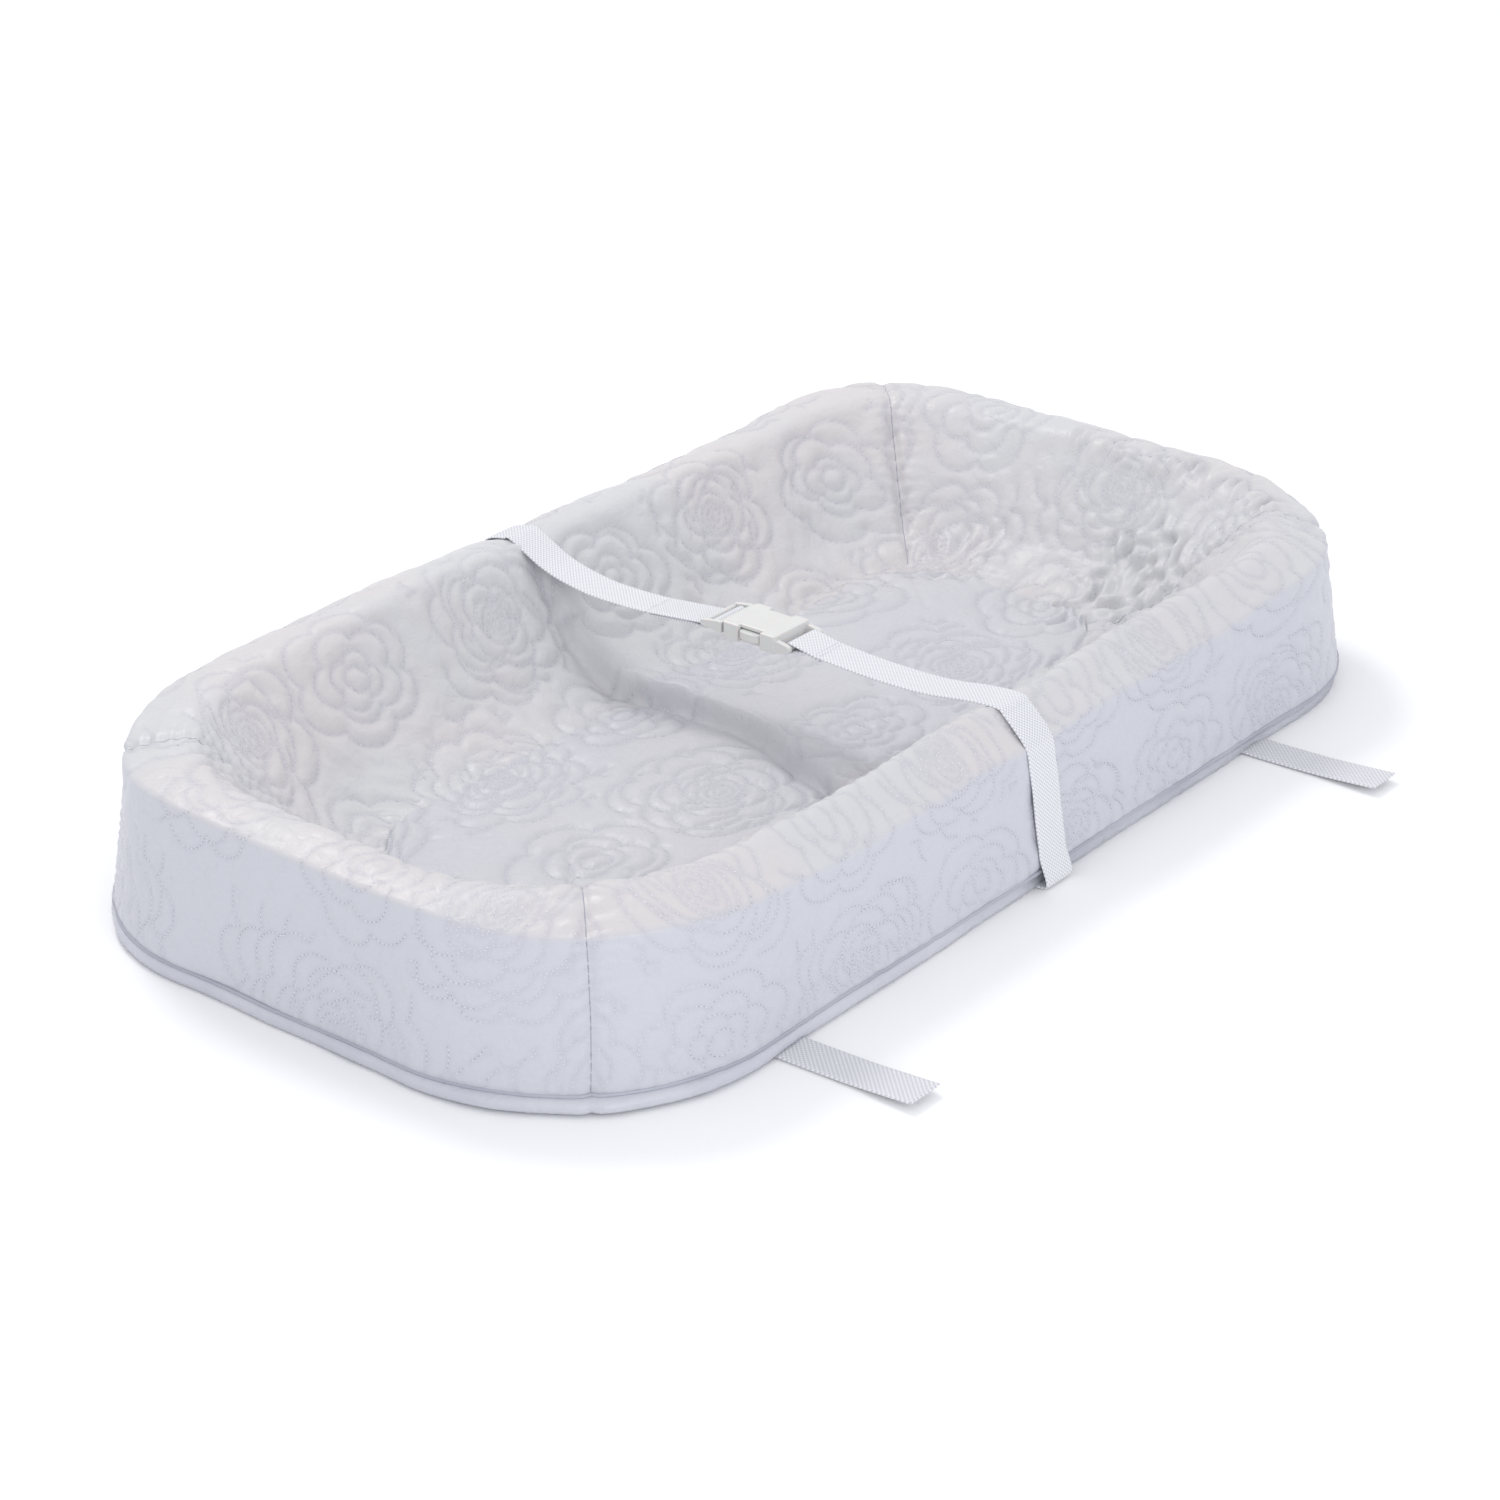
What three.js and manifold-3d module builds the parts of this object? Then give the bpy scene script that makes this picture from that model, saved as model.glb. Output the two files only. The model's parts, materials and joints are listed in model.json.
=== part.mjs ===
// Contoured baby changing pad: four-sided foam in a quilted cover, with a safety belt,
// a side-release buckle and two mounting tabs of webbing.
// Millimetres, +Z up. The origin is the centre of the underside, +X runs along the pad,
// and -Y is the near long side, where the mounting tabs are.

import * as THREE from 'three';
import { mergeVertices } from 'three/addons/utils/BufferGeometryUtils.js';
import Module from 'manifold-3d';

const wasm = await Module();
wasm.setup();

const GAP = 0.3; // clearance between pieces that touch

// ---- Driving dimensions -------------------------------------------------

// The pad, over its hem
const PAD_LENGTH = 776;
const PAD_WIDTH = 424;
const HEM_PLAN_RADIUS = 127;
const RIM_PLAN_RADIUS = 132;
const VALLEY_PLAN_RADIUS = 60;

// Section of a side. An inset is a distance in from the hem's outer edge.
const CREST_INSET = 26;
const CREST_HEIGHT = 106;
const RIM_OUTER_RADIUS = 14;
const RIM_INNER_RADIUS = 25;
const WALL_LEAN = 3.7; // degrees from upright
const SLOPE_ANGLE = 50; // degrees, the steepest part of the inner slope
const VALLEY_HEIGHT = 32;
const VALLEY_RADIUS = 60;
const COVER_THICKNESS = 3;
const FOAM_SPLIT_INSET = 104; // the glue line between the base slab and the bolsters

// Bottom panel and hem
const PANEL_THICKNESS = 3;
const PANEL_INSET = 2;
const RECESS_DEPTH = 2.2; // where sewn webbing sinks into the underside
const BINDING_TOP = 10.8;

// Webbing
const WEB_WIDTH = 25;
const WEB_THICKNESS = 1.3;
const WEB_FLOOR = 0.6; // height of sewn webbing above the underside
const HINGE_GAP = 1; // from a hinge line to the end of the webbing on each side of it
const THREAD_THICKNESS = 0.25;

// Safety belt
const BELT_ROOT_Y = 150; // inner end of the sewn tails under the pad
const FAR_LEAVE_ANGLE = 24.8; // degrees past the crest where the belt leaves the rim
const NEAR_LEAVE_ANGLE = 11.6;
const BELT_SPAN = 147.5; // level distance from each rim hinge to its buckle bar
const BELT_DROP = 9.2;
const BELT_TAIL = 48;

// Side-release buckle, in its own frame: y along the belt, x across it
const BAR_RADIUS = 1.7;
const BAR_CLEARANCE = 0.2;
const BUCKLE_HALF_WIDTH = 16.6;
const RAIL_INNER = 13.2;
const HOUSING_HALF_HEIGHT = 5.4;
const CAVITY_HALF_HEIGHT = 3.3;
const HOUSING_MOUTH = 13;
const HOUSING_BACK = -25.5;
const CAVITY_BACK = -23;
const WINDOW_FRONT = 1.5;
const WINDOW_BACK = -15;
const INSERT_HALF_HEIGHT = 2.8;
const SHOULDER_Y = 14;
const ARM_HALF_HEIGHT = 2.5;
const TONGUE_HALF_WIDTH = 2.5;
const TONGUE_TIP = -8;

// Mounting tabs
const TAB_CENTRES = { left: -236, right: 217 };
const TAB_ROOT_Y = -188;
const TAB_HINGE_Y = -214;
const TAB_REACH = 82;
const TAB_TIP_RISE = 4.5;

const CORNER_STEPS = 9;

// ---- Materials ----------------------------------------------------------

function finish(color, roughness) {
  return new THREE.MeshStandardMaterial({ color, roughness, metalness: 0 });
}

const vinyl = finish('#dcdde6', 0.45);
const panelVinyl = finish('#d6d8e0', 0.6);
const binding = finish('#dfe0ea', 0.6);
const foam = finish('#efe9d6', 0.95);
const webbing = finish('#e6e6ee', 0.8);
const thread = finish('#f4f4f6', 0.7);
const plastic = finish('#f1f1ec', 0.35);

// ---- Helpers ------------------------------------------------------------

const radians = THREE.MathUtils.degToRad;
const lerp = THREE.MathUtils.lerp;

function toSolid(geometry) {
  const bare = geometry.clone();
  bare.deleteAttribute('normal');
  bare.deleteAttribute('uv');
  const merged = mergeVertices(bare, 1e-4);
  return new wasm.Manifold(new wasm.Mesh({
    numProp: 3,
    vertProperties: new Float32Array(merged.attributes.position.array),
    triVerts: new Uint32Array(merged.index.array),
  }));
}

function toGeometry(solid) {
  const mesh = solid.getMesh();
  const geometry = new THREE.BufferGeometry();
  geometry.setAttribute('position', new THREE.BufferAttribute(mesh.vertProperties, 3));
  geometry.setIndex(new THREE.BufferAttribute(mesh.triVerts, 1));
  geometry.computeVertexNormals();
  return geometry;
}

function union(...geometries) {
  return toGeometry(geometries.map(toSolid).reduce((sum, solid) => sum.add(solid)));
}

function subtract(geometry, ...cutters) {
  return toGeometry(cutters.map(toSolid).reduce((rest, cutter) => rest.subtract(cutter), toSolid(geometry)));
}

function intersect(a, b) {
  return toGeometry(toSolid(a).intersect(toSolid(b)));
}

// A box between two corners
function block(low, high) {
  const size = high.map((value, i) => value - low[i]);
  const centre = high.map((value, i) => (value + low[i]) / 2);
  return new THREE.BoxGeometry(...size).translate(...centre);
}

// A shape drawn in (y, z) and made solid from x = from to x = to
function extrudeAcross(shape, from, to) {
  const geometry = new THREE.ExtrudeGeometry(shape, { depth: to - from, bevelEnabled: false });
  geometry.applyMatrix4(new THREE.Matrix4().makeBasis(
    new THREE.Vector3(0, 1, 0),
    new THREE.Vector3(0, 0, 1),
    new THREE.Vector3(1, 0, 0),
  ));
  return geometry.translate(from, 0, 0);
}

// A shape drawn in (x, y) and made solid over a height, with small bevels top and bottom
function extrudeUp(shape, from, to, bevel) {
  const geometry = new THREE.ExtrudeGeometry(shape, {
    depth: to - from - 2 * bevel,
    bevelEnabled: bevel > 0,
    bevelThickness: bevel,
    bevelSize: bevel,
    bevelOffset: -bevel,
    bevelSegments: 2,
  });
  return geometry.translate(0, 0, from + bevel);
}

// A round bar along x, centred on (y, z)
function barAcross(y, z, radius, halfLength) {
  return new THREE.CylinderGeometry(radius, radius, 2 * halfLength, 16)
    .rotateZ(Math.PI / 2)
    .translate(0, y, z);
}

// ---- The pad's shape ----------------------------------------------------

// Where the steep slope begins, and where the round of the valley meets the flat floor
const slopeStart = {
  inset: CREST_INSET + RIM_INNER_RADIUS * Math.sin(radians(SLOPE_ANGLE)),
  height: CREST_HEIGHT - RIM_INNER_RADIUS * (1 - Math.cos(radians(SLOPE_ANGLE))),
};
const slopeEndHeight = VALLEY_HEIGHT + VALLEY_RADIUS * (1 - Math.cos(radians(SLOPE_ANGLE)));
const FLOOR_INSET = slopeStart.inset
  + (slopeStart.height - slopeEndHeight) / Math.tan(radians(SLOPE_ANGLE))
  + VALLEY_RADIUS * Math.sin(radians(SLOPE_ANGLE));

const FOOT_HEIGHT = PANEL_THICKNESS + GAP;

// Points at equal angles on an arc of the section. The angle is that of the outward normal,
// from 0 (facing out) to 90 (facing up). A negative radius gives a hollow arc.
function sectionArc(inset, height, radius, from, to, steps) {
  const points = [];
  for (let i = 0; i <= steps; i++) {
    const angle = radians(lerp(from, to, i / steps));
    points.push({
      inset: inset - radius * Math.cos(angle),
      height: height + radius * Math.sin(angle),
    });
  }
  return points;
}

// The wall and rim, set back by a depth from the cover's outer face
function rimSection(depth) {
  const outer = sectionArc(
    CREST_INSET, CREST_HEIGHT - RIM_OUTER_RADIUS, RIM_OUTER_RADIUS - depth, WALL_LEAN, 90, 4,
  );
  const inner = sectionArc(
    CREST_INSET, CREST_HEIGHT - RIM_INNER_RADIUS, RIM_INNER_RADIUS - depth, 90, 90 + SLOPE_ANGLE, 3,
  );
  const foot = {
    inset: outer[0].inset - (outer[0].height - FOOT_HEIGHT) * Math.tan(radians(WALL_LEAN)),
    height: FOOT_HEIGHT,
  };
  return [foot, ...outer, ...inner.slice(1)];
}

// The round at the foot of the slope, set back by a depth, between two angles of its normal
function valleySection(depth, from, to) {
  return sectionArc(FLOOR_INSET, VALLEY_HEIGHT + VALLEY_RADIUS, -(VALLEY_RADIUS + depth), from, to, 4);
}

// The angle of the valley round's normal at an inset
function valleyAngle(depth, inset) {
  return THREE.MathUtils.radToDeg(Math.acos((inset - FLOOR_INSET) / (VALLEY_RADIUS + depth)));
}

function planRadius(inset) {
  if (inset < CREST_INSET) {
    return lerp(HEM_PLAN_RADIUS, RIM_PLAN_RADIUS, inset / CREST_INSET);
  }
  const along = (inset - CREST_INSET) / (FLOOR_INSET - CREST_INSET);
  return lerp(RIM_PLAN_RADIUS, VALLEY_PLAN_RADIUS, along);
}

// One level ring: the pad's rounded rectangle at an inset
function ringPoints({ inset, height }) {
  const radius = planRadius(inset);
  const centreX = PAD_LENGTH / 2 - inset - radius;
  const centreY = PAD_WIDTH / 2 - inset - radius;
  const quarters = [[1, 1], [-1, 1], [-1, -1], [1, -1]];
  return quarters.flatMap(([signX, signY], quarter) => {
    const corner = [];
    for (let i = 0; i <= CORNER_STEPS; i++) {
      const angle = (quarter + i / CORNER_STEPS) * Math.PI / 2;
      corner.push(new THREE.Vector3(
        signX * centreX + radius * Math.cos(angle),
        signY * centreY + radius * Math.sin(angle),
        height,
      ));
    }
    return corner;
  });
}

// A solid through level rings: closed back to the first ring, or capped flat at both ends
function loft(section, closed) {
  const rings = section.map(ringPoints);
  const count = rings[0].length;
  const vertices = rings.flat();
  const faces = [];
  const links = closed ? rings.length : rings.length - 1;
  for (let level = 0; level < links; level++) {
    const here = level * count;
    const next = ((level + 1) % rings.length) * count;
    for (let i = 0; i < count; i++) {
      const j = (i + 1) % count;
      faces.push(here + i, here + j, next + j, here + i, next + j, next + i);
    }
  }
  if (!closed) {
    const first = vertices.push(new THREE.Vector3(0, 0, section[0].height)) - 1;
    const last = vertices.push(new THREE.Vector3(0, 0, section.at(-1).height)) - 1;
    const top = (rings.length - 1) * count;
    for (let i = 0; i < count; i++) {
      const j = (i + 1) % count;
      faces.push(first, j, i, last, top + i, top + j);
    }
  }
  const geometry = new THREE.BufferGeometry().setFromPoints(vertices);
  geometry.setIndex(faces);
  geometry.computeVertexNormals();
  return geometry;
}

// ---- Webbing ------------------------------------------------------------

// A strip's side view: a line in (y, z) given a thickness
function stripShape(line, thickness) {
  const left = [];
  const right = [];
  line.forEach((point, i) => {
    const before = line[Math.max(i - 1, 0)];
    const after = line[Math.min(i + 1, line.length - 1)];
    const across = after.clone().sub(before).normalize().rotateAround(new THREE.Vector2(), Math.PI / 2);
    left.push(point.clone().addScaledVector(across, thickness / 2));
    right.push(point.clone().addScaledVector(across, -thickness / 2));
  });
  return new THREE.Shape([...left, ...right.reverse()]);
}

function strip(line, centreX, width = WEB_WIDTH, thickness = WEB_THICKNESS) {
  return extrudeAcross(stripShape(line, thickness), centreX - width / 2, centreX + width / 2);
}

function smoothLine(points, steps) {
  return new THREE.SplineCurve(points.map(([y, z]) => new THREE.Vector2(y, z))).getPoints(steps);
}

// A thread bar lying just above (side 1) or below (side -1) a strip, where its line first
// comes within 2 mm of y = nearY
function threadBar(line, nearY, side, centreX) {
  const index = line.findIndex((point) => Math.abs(point.x - nearY) < 2);
  const away = WEB_THICKNESS / 2 + 1.5 * GAP + THREAD_THICKNESS / 2;
  const direction = line[index + 1].clone().sub(line[index]).normalize();
  const across = direction.clone().rotateAround(new THREE.Vector2(), Math.PI / 2);
  const upward = Math.sign(across.y) * side;
  const middle = line[index].clone().addScaledVector(across, upward * away);
  const ends = [-1, 1].map((end) => middle.clone().addScaledVector(direction, end));
  return strip(ends, centreX, WEB_WIDTH - 5, THREAD_THICKNESS);
}

// Webbing centre line where it lies on the rim, at an angle past the crest
const WEB_LIFT = GAP + WEB_THICKNESS / 2;
const rimCentreY = PAD_WIDTH / 2 - CREST_INSET;

function onInnerRim(angle) {
  const radius = RIM_INNER_RADIUS + WEB_LIFT;
  return [
    rimCentreY - radius * Math.sin(radians(angle)),
    CREST_HEIGHT - RIM_INNER_RADIUS + radius * Math.cos(radians(angle)),
  ];
}

function onOuterRim(angle) {
  const radius = RIM_OUTER_RADIUS + WEB_LIFT;
  return [
    rimCentreY + radius * Math.sin(radians(angle)),
    CREST_HEIGHT - RIM_OUTER_RADIUS + radius * Math.cos(radians(angle)),
  ];
}

// Webbing from its sewn tail under the pad, round the hem, up the wall and over the rim.
// Drawn for the far side; the near side is its mirror image.
function anchorLine(side, leaveAngle) {
  const sewn = WEB_FLOOR + WEB_THICKNESS / 2;
  const hemY = PAD_WIDTH / 2 + WEB_LIFT;
  const lastAngle = leaveAngle - THREE.MathUtils.radToDeg(HINGE_GAP / (RIM_INNER_RADIUS + WEB_LIFT));
  const points = [
    [BELT_ROOT_Y, sewn],
    [BELT_ROOT_Y + 28, sewn],
    [hemY - 7, sewn],
    [hemY - 1.4, sewn + 0.5],
    [hemY + 0.1, 4.6],
    [hemY + 0.1, 8.8],
    [hemY - 1.6, BINDING_TOP + 1.8],
    [hemY - 6, 23],
    [rimCentreY + 18.7, 36],
    [rimCentreY + 17, 62],
    ...[88, 66, 44, 22].map(onOuterRim),
    ...[0, lastAngle / 2, lastAngle].map(onInnerRim),
  ];
  return smoothLine(points.map(([y, z]) => [side * y, z]), 60);
}

// ---- Hinge lines of the belt -------------------------------------------

const [farHingeY, farHingeZ] = onInnerRim(FAR_LEAVE_ANGLE);
const [nearHingeOut, nearHingeZ] = onInnerRim(NEAR_LEAVE_ANGLE);
const nearHingeY = -nearHingeOut;
const insertHinge = { y: farHingeY - BELT_SPAN, z: farHingeZ - BELT_DROP };
const housingHinge = { y: nearHingeY + BELT_SPAN, z: nearHingeZ - BELT_DROP };

// The buckle's mid height: the insert's outer bar rests on top of the far webbing
const BUCKLE_Z = insertHinge.z + WEB_THICKNESS / 2 + BAR_CLEARANCE + BAR_RADIUS;

function farRunLine() {
  const direction = radians(FAR_LEAVE_ANGLE);
  return smoothLine([
    [farHingeY - HINGE_GAP * Math.cos(direction), farHingeZ - HINGE_GAP * Math.sin(direction)],
    [farHingeY - 22, farHingeZ - 8.6],
    [farHingeY - 52, farHingeZ - 14.6],
    [farHingeY - 88, farHingeZ - 15],
    [insertHinge.y + 24, insertHinge.z - 2.4],
    [insertHinge.y + HINGE_GAP, insertHinge.z],
  ], 36);
}

// The webbing's turn through the ladder lock: up, over the middle bar and down again
const MIDDLE_BAR = { front: 19.3, back: 21.9, halfHeight: 1.2 };
const PLATE_BACK = 16.4;

function ladderTurnLine() {
  const over = BUCKLE_Z + MIDDLE_BAR.halfHeight + WEB_THICKNESS / 2 + 0.6;
  const middle = (MIDDLE_BAR.front + MIDDLE_BAR.back) / 2;
  return smoothLine([
    [insertHinge.y - HINGE_GAP, insertHinge.z],
    [MIDDLE_BAR.back + 2.3, insertHinge.z + 1.1],
    [MIDDLE_BAR.back + 1.5, BUCKLE_Z + 0.6],
    [MIDDLE_BAR.back + 0.3, over - 0.5],
    [middle, over],
    [MIDDLE_BAR.front - 0.6, over - 0.7],
    [MIDDLE_BAR.front - 1.4, BUCKLE_Z],
    [MIDDLE_BAR.front - 0.9, BUCKLE_Z - 2.6],
    [middle, BUCKLE_Z - 3.8],
    [MIDDLE_BAR.back + 1.2, BUCKLE_Z - 4.1],
  ], 32);
}

// The loose tail, lying just under the far run
function farTailLine() {
  const below = WEB_THICKNESS + 0.45;
  const start = [insertHinge.y + 4.5, insertHinge.z - 2.3];
  return smoothLine([
    start,
    [insertHinge.y + 14, insertHinge.z - 1.4 - below - 0.3],
    [insertHinge.y + 28, insertHinge.z - 2.8 - below - 0.4],
    [insertHinge.y + BELT_TAIL, insertHinge.z - 5.6 - below - 1.4],
  ], 14);
}

// The near run ends in a loop round the housing's bar, folded back under itself
function nearRunLine() {
  const direction = radians(NEAR_LEAVE_ANGLE);
  const radius = BAR_RADIUS + BAR_CLEARANCE + WEB_THICKNESS / 2;
  const { y, z } = housingHinge;
  const loop = [90, 120, 150, 180, 210, 240, 270].map((angle) => [
    y - radius * Math.cos(radians(angle)),
    z + radius * Math.sin(radians(angle)),
  ]);
  return smoothLine([
    [nearHingeY + HINGE_GAP * Math.cos(direction), nearHingeZ - HINGE_GAP * Math.sin(direction)],
    [nearHingeY + 26, nearHingeZ - 6.4],
    [nearHingeY + 54, nearHingeZ - 10.2],
    [nearHingeY + 90, nearHingeZ - 11.2],
    [y - 22, z - 0.6],
    [y - 8, z + 1.5],
    ...loop,
    [y - 5, z - 1.6],
    [y - 12, z - 1.25],
    [y - 22, z - 2.5],
  ], 90);
}

// ---- Pieces -------------------------------------------------------------

const parts = new THREE.Group();

function addPart(name, geometry, material, centre) {
  const mesh = new THREE.Mesh(geometry, material);
  mesh.name = name;
  if (centre) {
    mesh.position.set(...centre);
  }
  parts.add(mesh);
}

// Cover: one skin from the hem over the rims to the valley floor, open below
function quiltedCover() {
  const steep = 90 + SLOPE_ANGLE;
  const outside = [...rimSection(0), ...valleySection(0, steep, 90)];
  const inside = [...rimSection(COVER_THICKNESS), ...valleySection(COVER_THICKNESS, steep, 90)];
  return loft([...inside.reverse(), ...outside], false);
}

// Foam base slab, with the foot of the slopes round its edge
function foamBase() {
  const depth = COVER_THICKNESS + GAP;
  const edge = FOAM_SPLIT_INSET + GAP;
  const slopes = valleySection(depth, valleyAngle(depth, edge), 90);
  return loft([{ inset: edge, height: FOOT_HEIGHT }, ...slopes], false);
}

// The ring of foam that the four bolsters are cut from
function foamRing() {
  const depth = COVER_THICKNESS + GAP;
  const slopes = valleySection(depth, 90 + SLOPE_ANGLE, valleyAngle(depth, FOAM_SPLIT_INSET));
  return loft([...rimSection(depth), ...slopes, { inset: FOAM_SPLIT_INSET, height: FOOT_HEIGHT }], true);
}

// A side bolster's share of the ring: its ends are cut on the mitre through the pad's corners
function mitredShare(alongX, sign) {
  const beyond = 20;
  const reach = FOAM_SPLIT_INSET + 30;
  const halfLength = PAD_LENGTH / 2;
  const halfWidth = PAD_WIDTH / 2;
  const cut = GAP / Math.SQRT2;
  const outline = alongX
    ? [
      [-(halfLength + beyond) + cut, sign * (halfWidth + beyond)],
      [halfLength + beyond - cut, sign * (halfWidth + beyond)],
      [halfLength - reach - cut, sign * (halfWidth - reach)],
      [-(halfLength - reach) + cut, sign * (halfWidth - reach)],
    ]
    : [
      [sign * (halfLength + beyond), -(halfWidth + beyond) + cut],
      [sign * (halfLength + beyond), halfWidth + beyond - cut],
      [sign * (halfLength - reach), halfWidth - reach - cut],
      [sign * (halfLength - reach), -(halfWidth - reach) + cut],
    ];
  const shape = new THREE.Shape(outline.map(([x, y]) => new THREE.Vector2(x, y)));
  return extrudeUp(shape, 0, CREST_HEIGHT + beyond, 0);
}

const ring = foamRing();
addPart('foam_base', foamBase(), foam);
addPart('foam_side_near', intersect(ring, mitredShare(true, -1)), foam);
addPart('foam_side_far', intersect(ring, mitredShare(true, 1)), foam);
addPart('foam_end_left', intersect(ring, mitredShare(false, -1)), foam);
addPart('foam_end_right', intersect(ring, mitredShare(false, 1)), foam);
addPart('quilted_cover', quiltedCover(), vinyl);

// Bottom panel, with recesses where the webbing is sewn to its underside
function recess(centreX, outerY, innerY) {
  const half = WEB_WIDTH / 2 + GAP;
  const [low, high] = [Math.min(outerY, innerY), Math.max(outerY, innerY)];
  return block([centreX - half, low, -1], [centreX + half, high, RECESS_DEPTH]);
}

function bottomPanel() {
  const panel = loft([
    { inset: PANEL_INSET + 1, height: 0 },
    { inset: PANEL_INSET, height: 1 },
    { inset: PANEL_INSET, height: PANEL_THICKNESS },
  ], false);
  const outside = PAD_WIDTH / 2 + 5;
  return subtract(
    panel,
    recess(0, outside, BELT_ROOT_Y - GAP),
    recess(0, -outside, -BELT_ROOT_Y + GAP),
    recess(TAB_CENTRES.left, -outside, TAB_ROOT_Y + GAP),
    recess(TAB_CENTRES.right, -outside, TAB_ROOT_Y + GAP),
  );
}

addPart('bottom_panel', bottomPanel(), panelVinyl);

// Hem binding: a folded tape round the bottom edge, outside the cover's foot
function hemBinding() {
  const inner = rimSection(0)[0].inset - GAP;
  return loft([
    { inset: 1.4, height: FOOT_HEIGHT },
    { inset: 0, height: FOOT_HEIGHT + 1.7 },
    { inset: 0, height: BINDING_TOP - 2 },
    { inset: 1.4, height: BINDING_TOP - 0.3 },
    { inset: inner, height: BINDING_TOP },
    { inset: inner, height: FOOT_HEIGHT },
  ], true);
}

addPart('hem_binding', hemBinding(), binding);

// Safety belt
const nearRun = nearRunLine();
const farTail = farTailLine();
addPart('belt_anchor_far', strip(anchorLine(1, FAR_LEAVE_ANGLE), 0), webbing);
addPart('belt_anchor_near', strip(anchorLine(-1, NEAR_LEAVE_ANGLE), 0), webbing);
addPart('belt_run_far', strip(farRunLine(), 0), webbing);
addPart('belt_run_near', strip(nearRun, 0), webbing);
addPart('belt_ladder_turn', strip(ladderTurnLine(), 0), webbing);
addPart('belt_tail', strip(farTail, 0), webbing);

// Box stitch: a square of thread with a cross in it, in a plan of its own
function boxStitch() {
  const half = 9.5;
  const line = 0.9;
  const square = new THREE.Shape([[-1, -1], [1, -1], [1, 1], [-1, 1]].map(
    ([x, y]) => new THREE.Vector2(x * half, y * half),
  ));
  const long = half - 1.5 * line;
  const short = half - 2.6 * line;
  for (let quarter = 0; quarter < 4; quarter++) {
    const corners = [[1.2 * line, 0], [long, short - line], [long, -short + line]];
    square.holes.push(new THREE.Path(corners.map(
      ([x, y]) => new THREE.Vector2(x, y).rotateAround(new THREE.Vector2(), quarter * Math.PI / 2),
    )));
  }
  return extrudeUp(square, 0, THREAD_THICKNESS, 0);
}

const THREAD_Z = WEB_FLOOR - GAP - THREAD_THICKNESS;
addPart('belt_box_stitch_far', boxStitch(), thread, [0, BELT_ROOT_Y + 14, THREAD_Z]);
addPart('belt_box_stitch_near', boxStitch(), thread, [0, -BELT_ROOT_Y - 14, THREAD_Z]);
addPart('belt_loop_stitch', threadBar(nearRun, housingHinge.y - 17, 1, 0), thread);
addPart('belt_tail_stitch', threadBar(farTail, insertHinge.y + BELT_TAIL - 7, -1, 0), thread);

// Buckle housing: a sleeve open to the far side, with side windows and a looped bar behind
function housing() {
  const side = BUCKLE_HALF_WIDTH;
  const outline = [
    [side, HOUSING_MOUTH - 1.5],
    [side, WINDOW_FRONT],
    [RAIL_INNER, WINDOW_FRONT],
    [RAIL_INNER, WINDOW_BACK],
    [side, WINDOW_BACK],
    [side, HOUSING_BACK + 1],
    [side - 1, HOUSING_BACK],
  ];
  const mouth = [side - 1.5, HOUSING_MOUTH];
  const mirrored = [...outline].reverse().map(([x, y]) => [-x, y]);
  const shape = new THREE.Shape([mouth, ...outline, ...mirrored, [-mouth[0], mouth[1]]].map(
    ([x, y]) => new THREE.Vector2(x, y),
  ));
  const body = extrudeUp(shape, -HOUSING_HALF_HEIGHT, HOUSING_HALF_HEIGHT, 0.7);
  const cavity = block(
    [-RAIL_INNER, CAVITY_BACK, -CAVITY_HALF_HEIGHT],
    [RAIL_INNER, HOUSING_MOUTH + 5, CAVITY_HALF_HEIGHT],
  );
  const barY = housingHinge.y;
  const barZ = housingHinge.z - BUCKLE_Z;
  const railShape = new THREE.Shape();
  railShape.moveTo(HOUSING_BACK + 1, -HOUSING_HALF_HEIGHT + 0.8);
  railShape.lineTo(HOUSING_BACK + 1, 3.4);
  railShape.lineTo(barY, barZ + 2.6);
  railShape.absarc(barY, barZ, 2.6, Math.PI / 2, 3 * Math.PI / 2, false);
  const rails = [-1, 1].map((sign) => extrudeAcross(
    railShape,
    Math.min(sign * RAIL_INNER, sign * (side - 0.3)),
    Math.max(sign * RAIL_INNER, sign * (side - 0.3)),
  ));
  const bar = barAcross(barY, barZ, BAR_RADIUS, RAIL_INNER + 1);
  return union(subtract(body, cavity), ...rails, bar);
}

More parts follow.
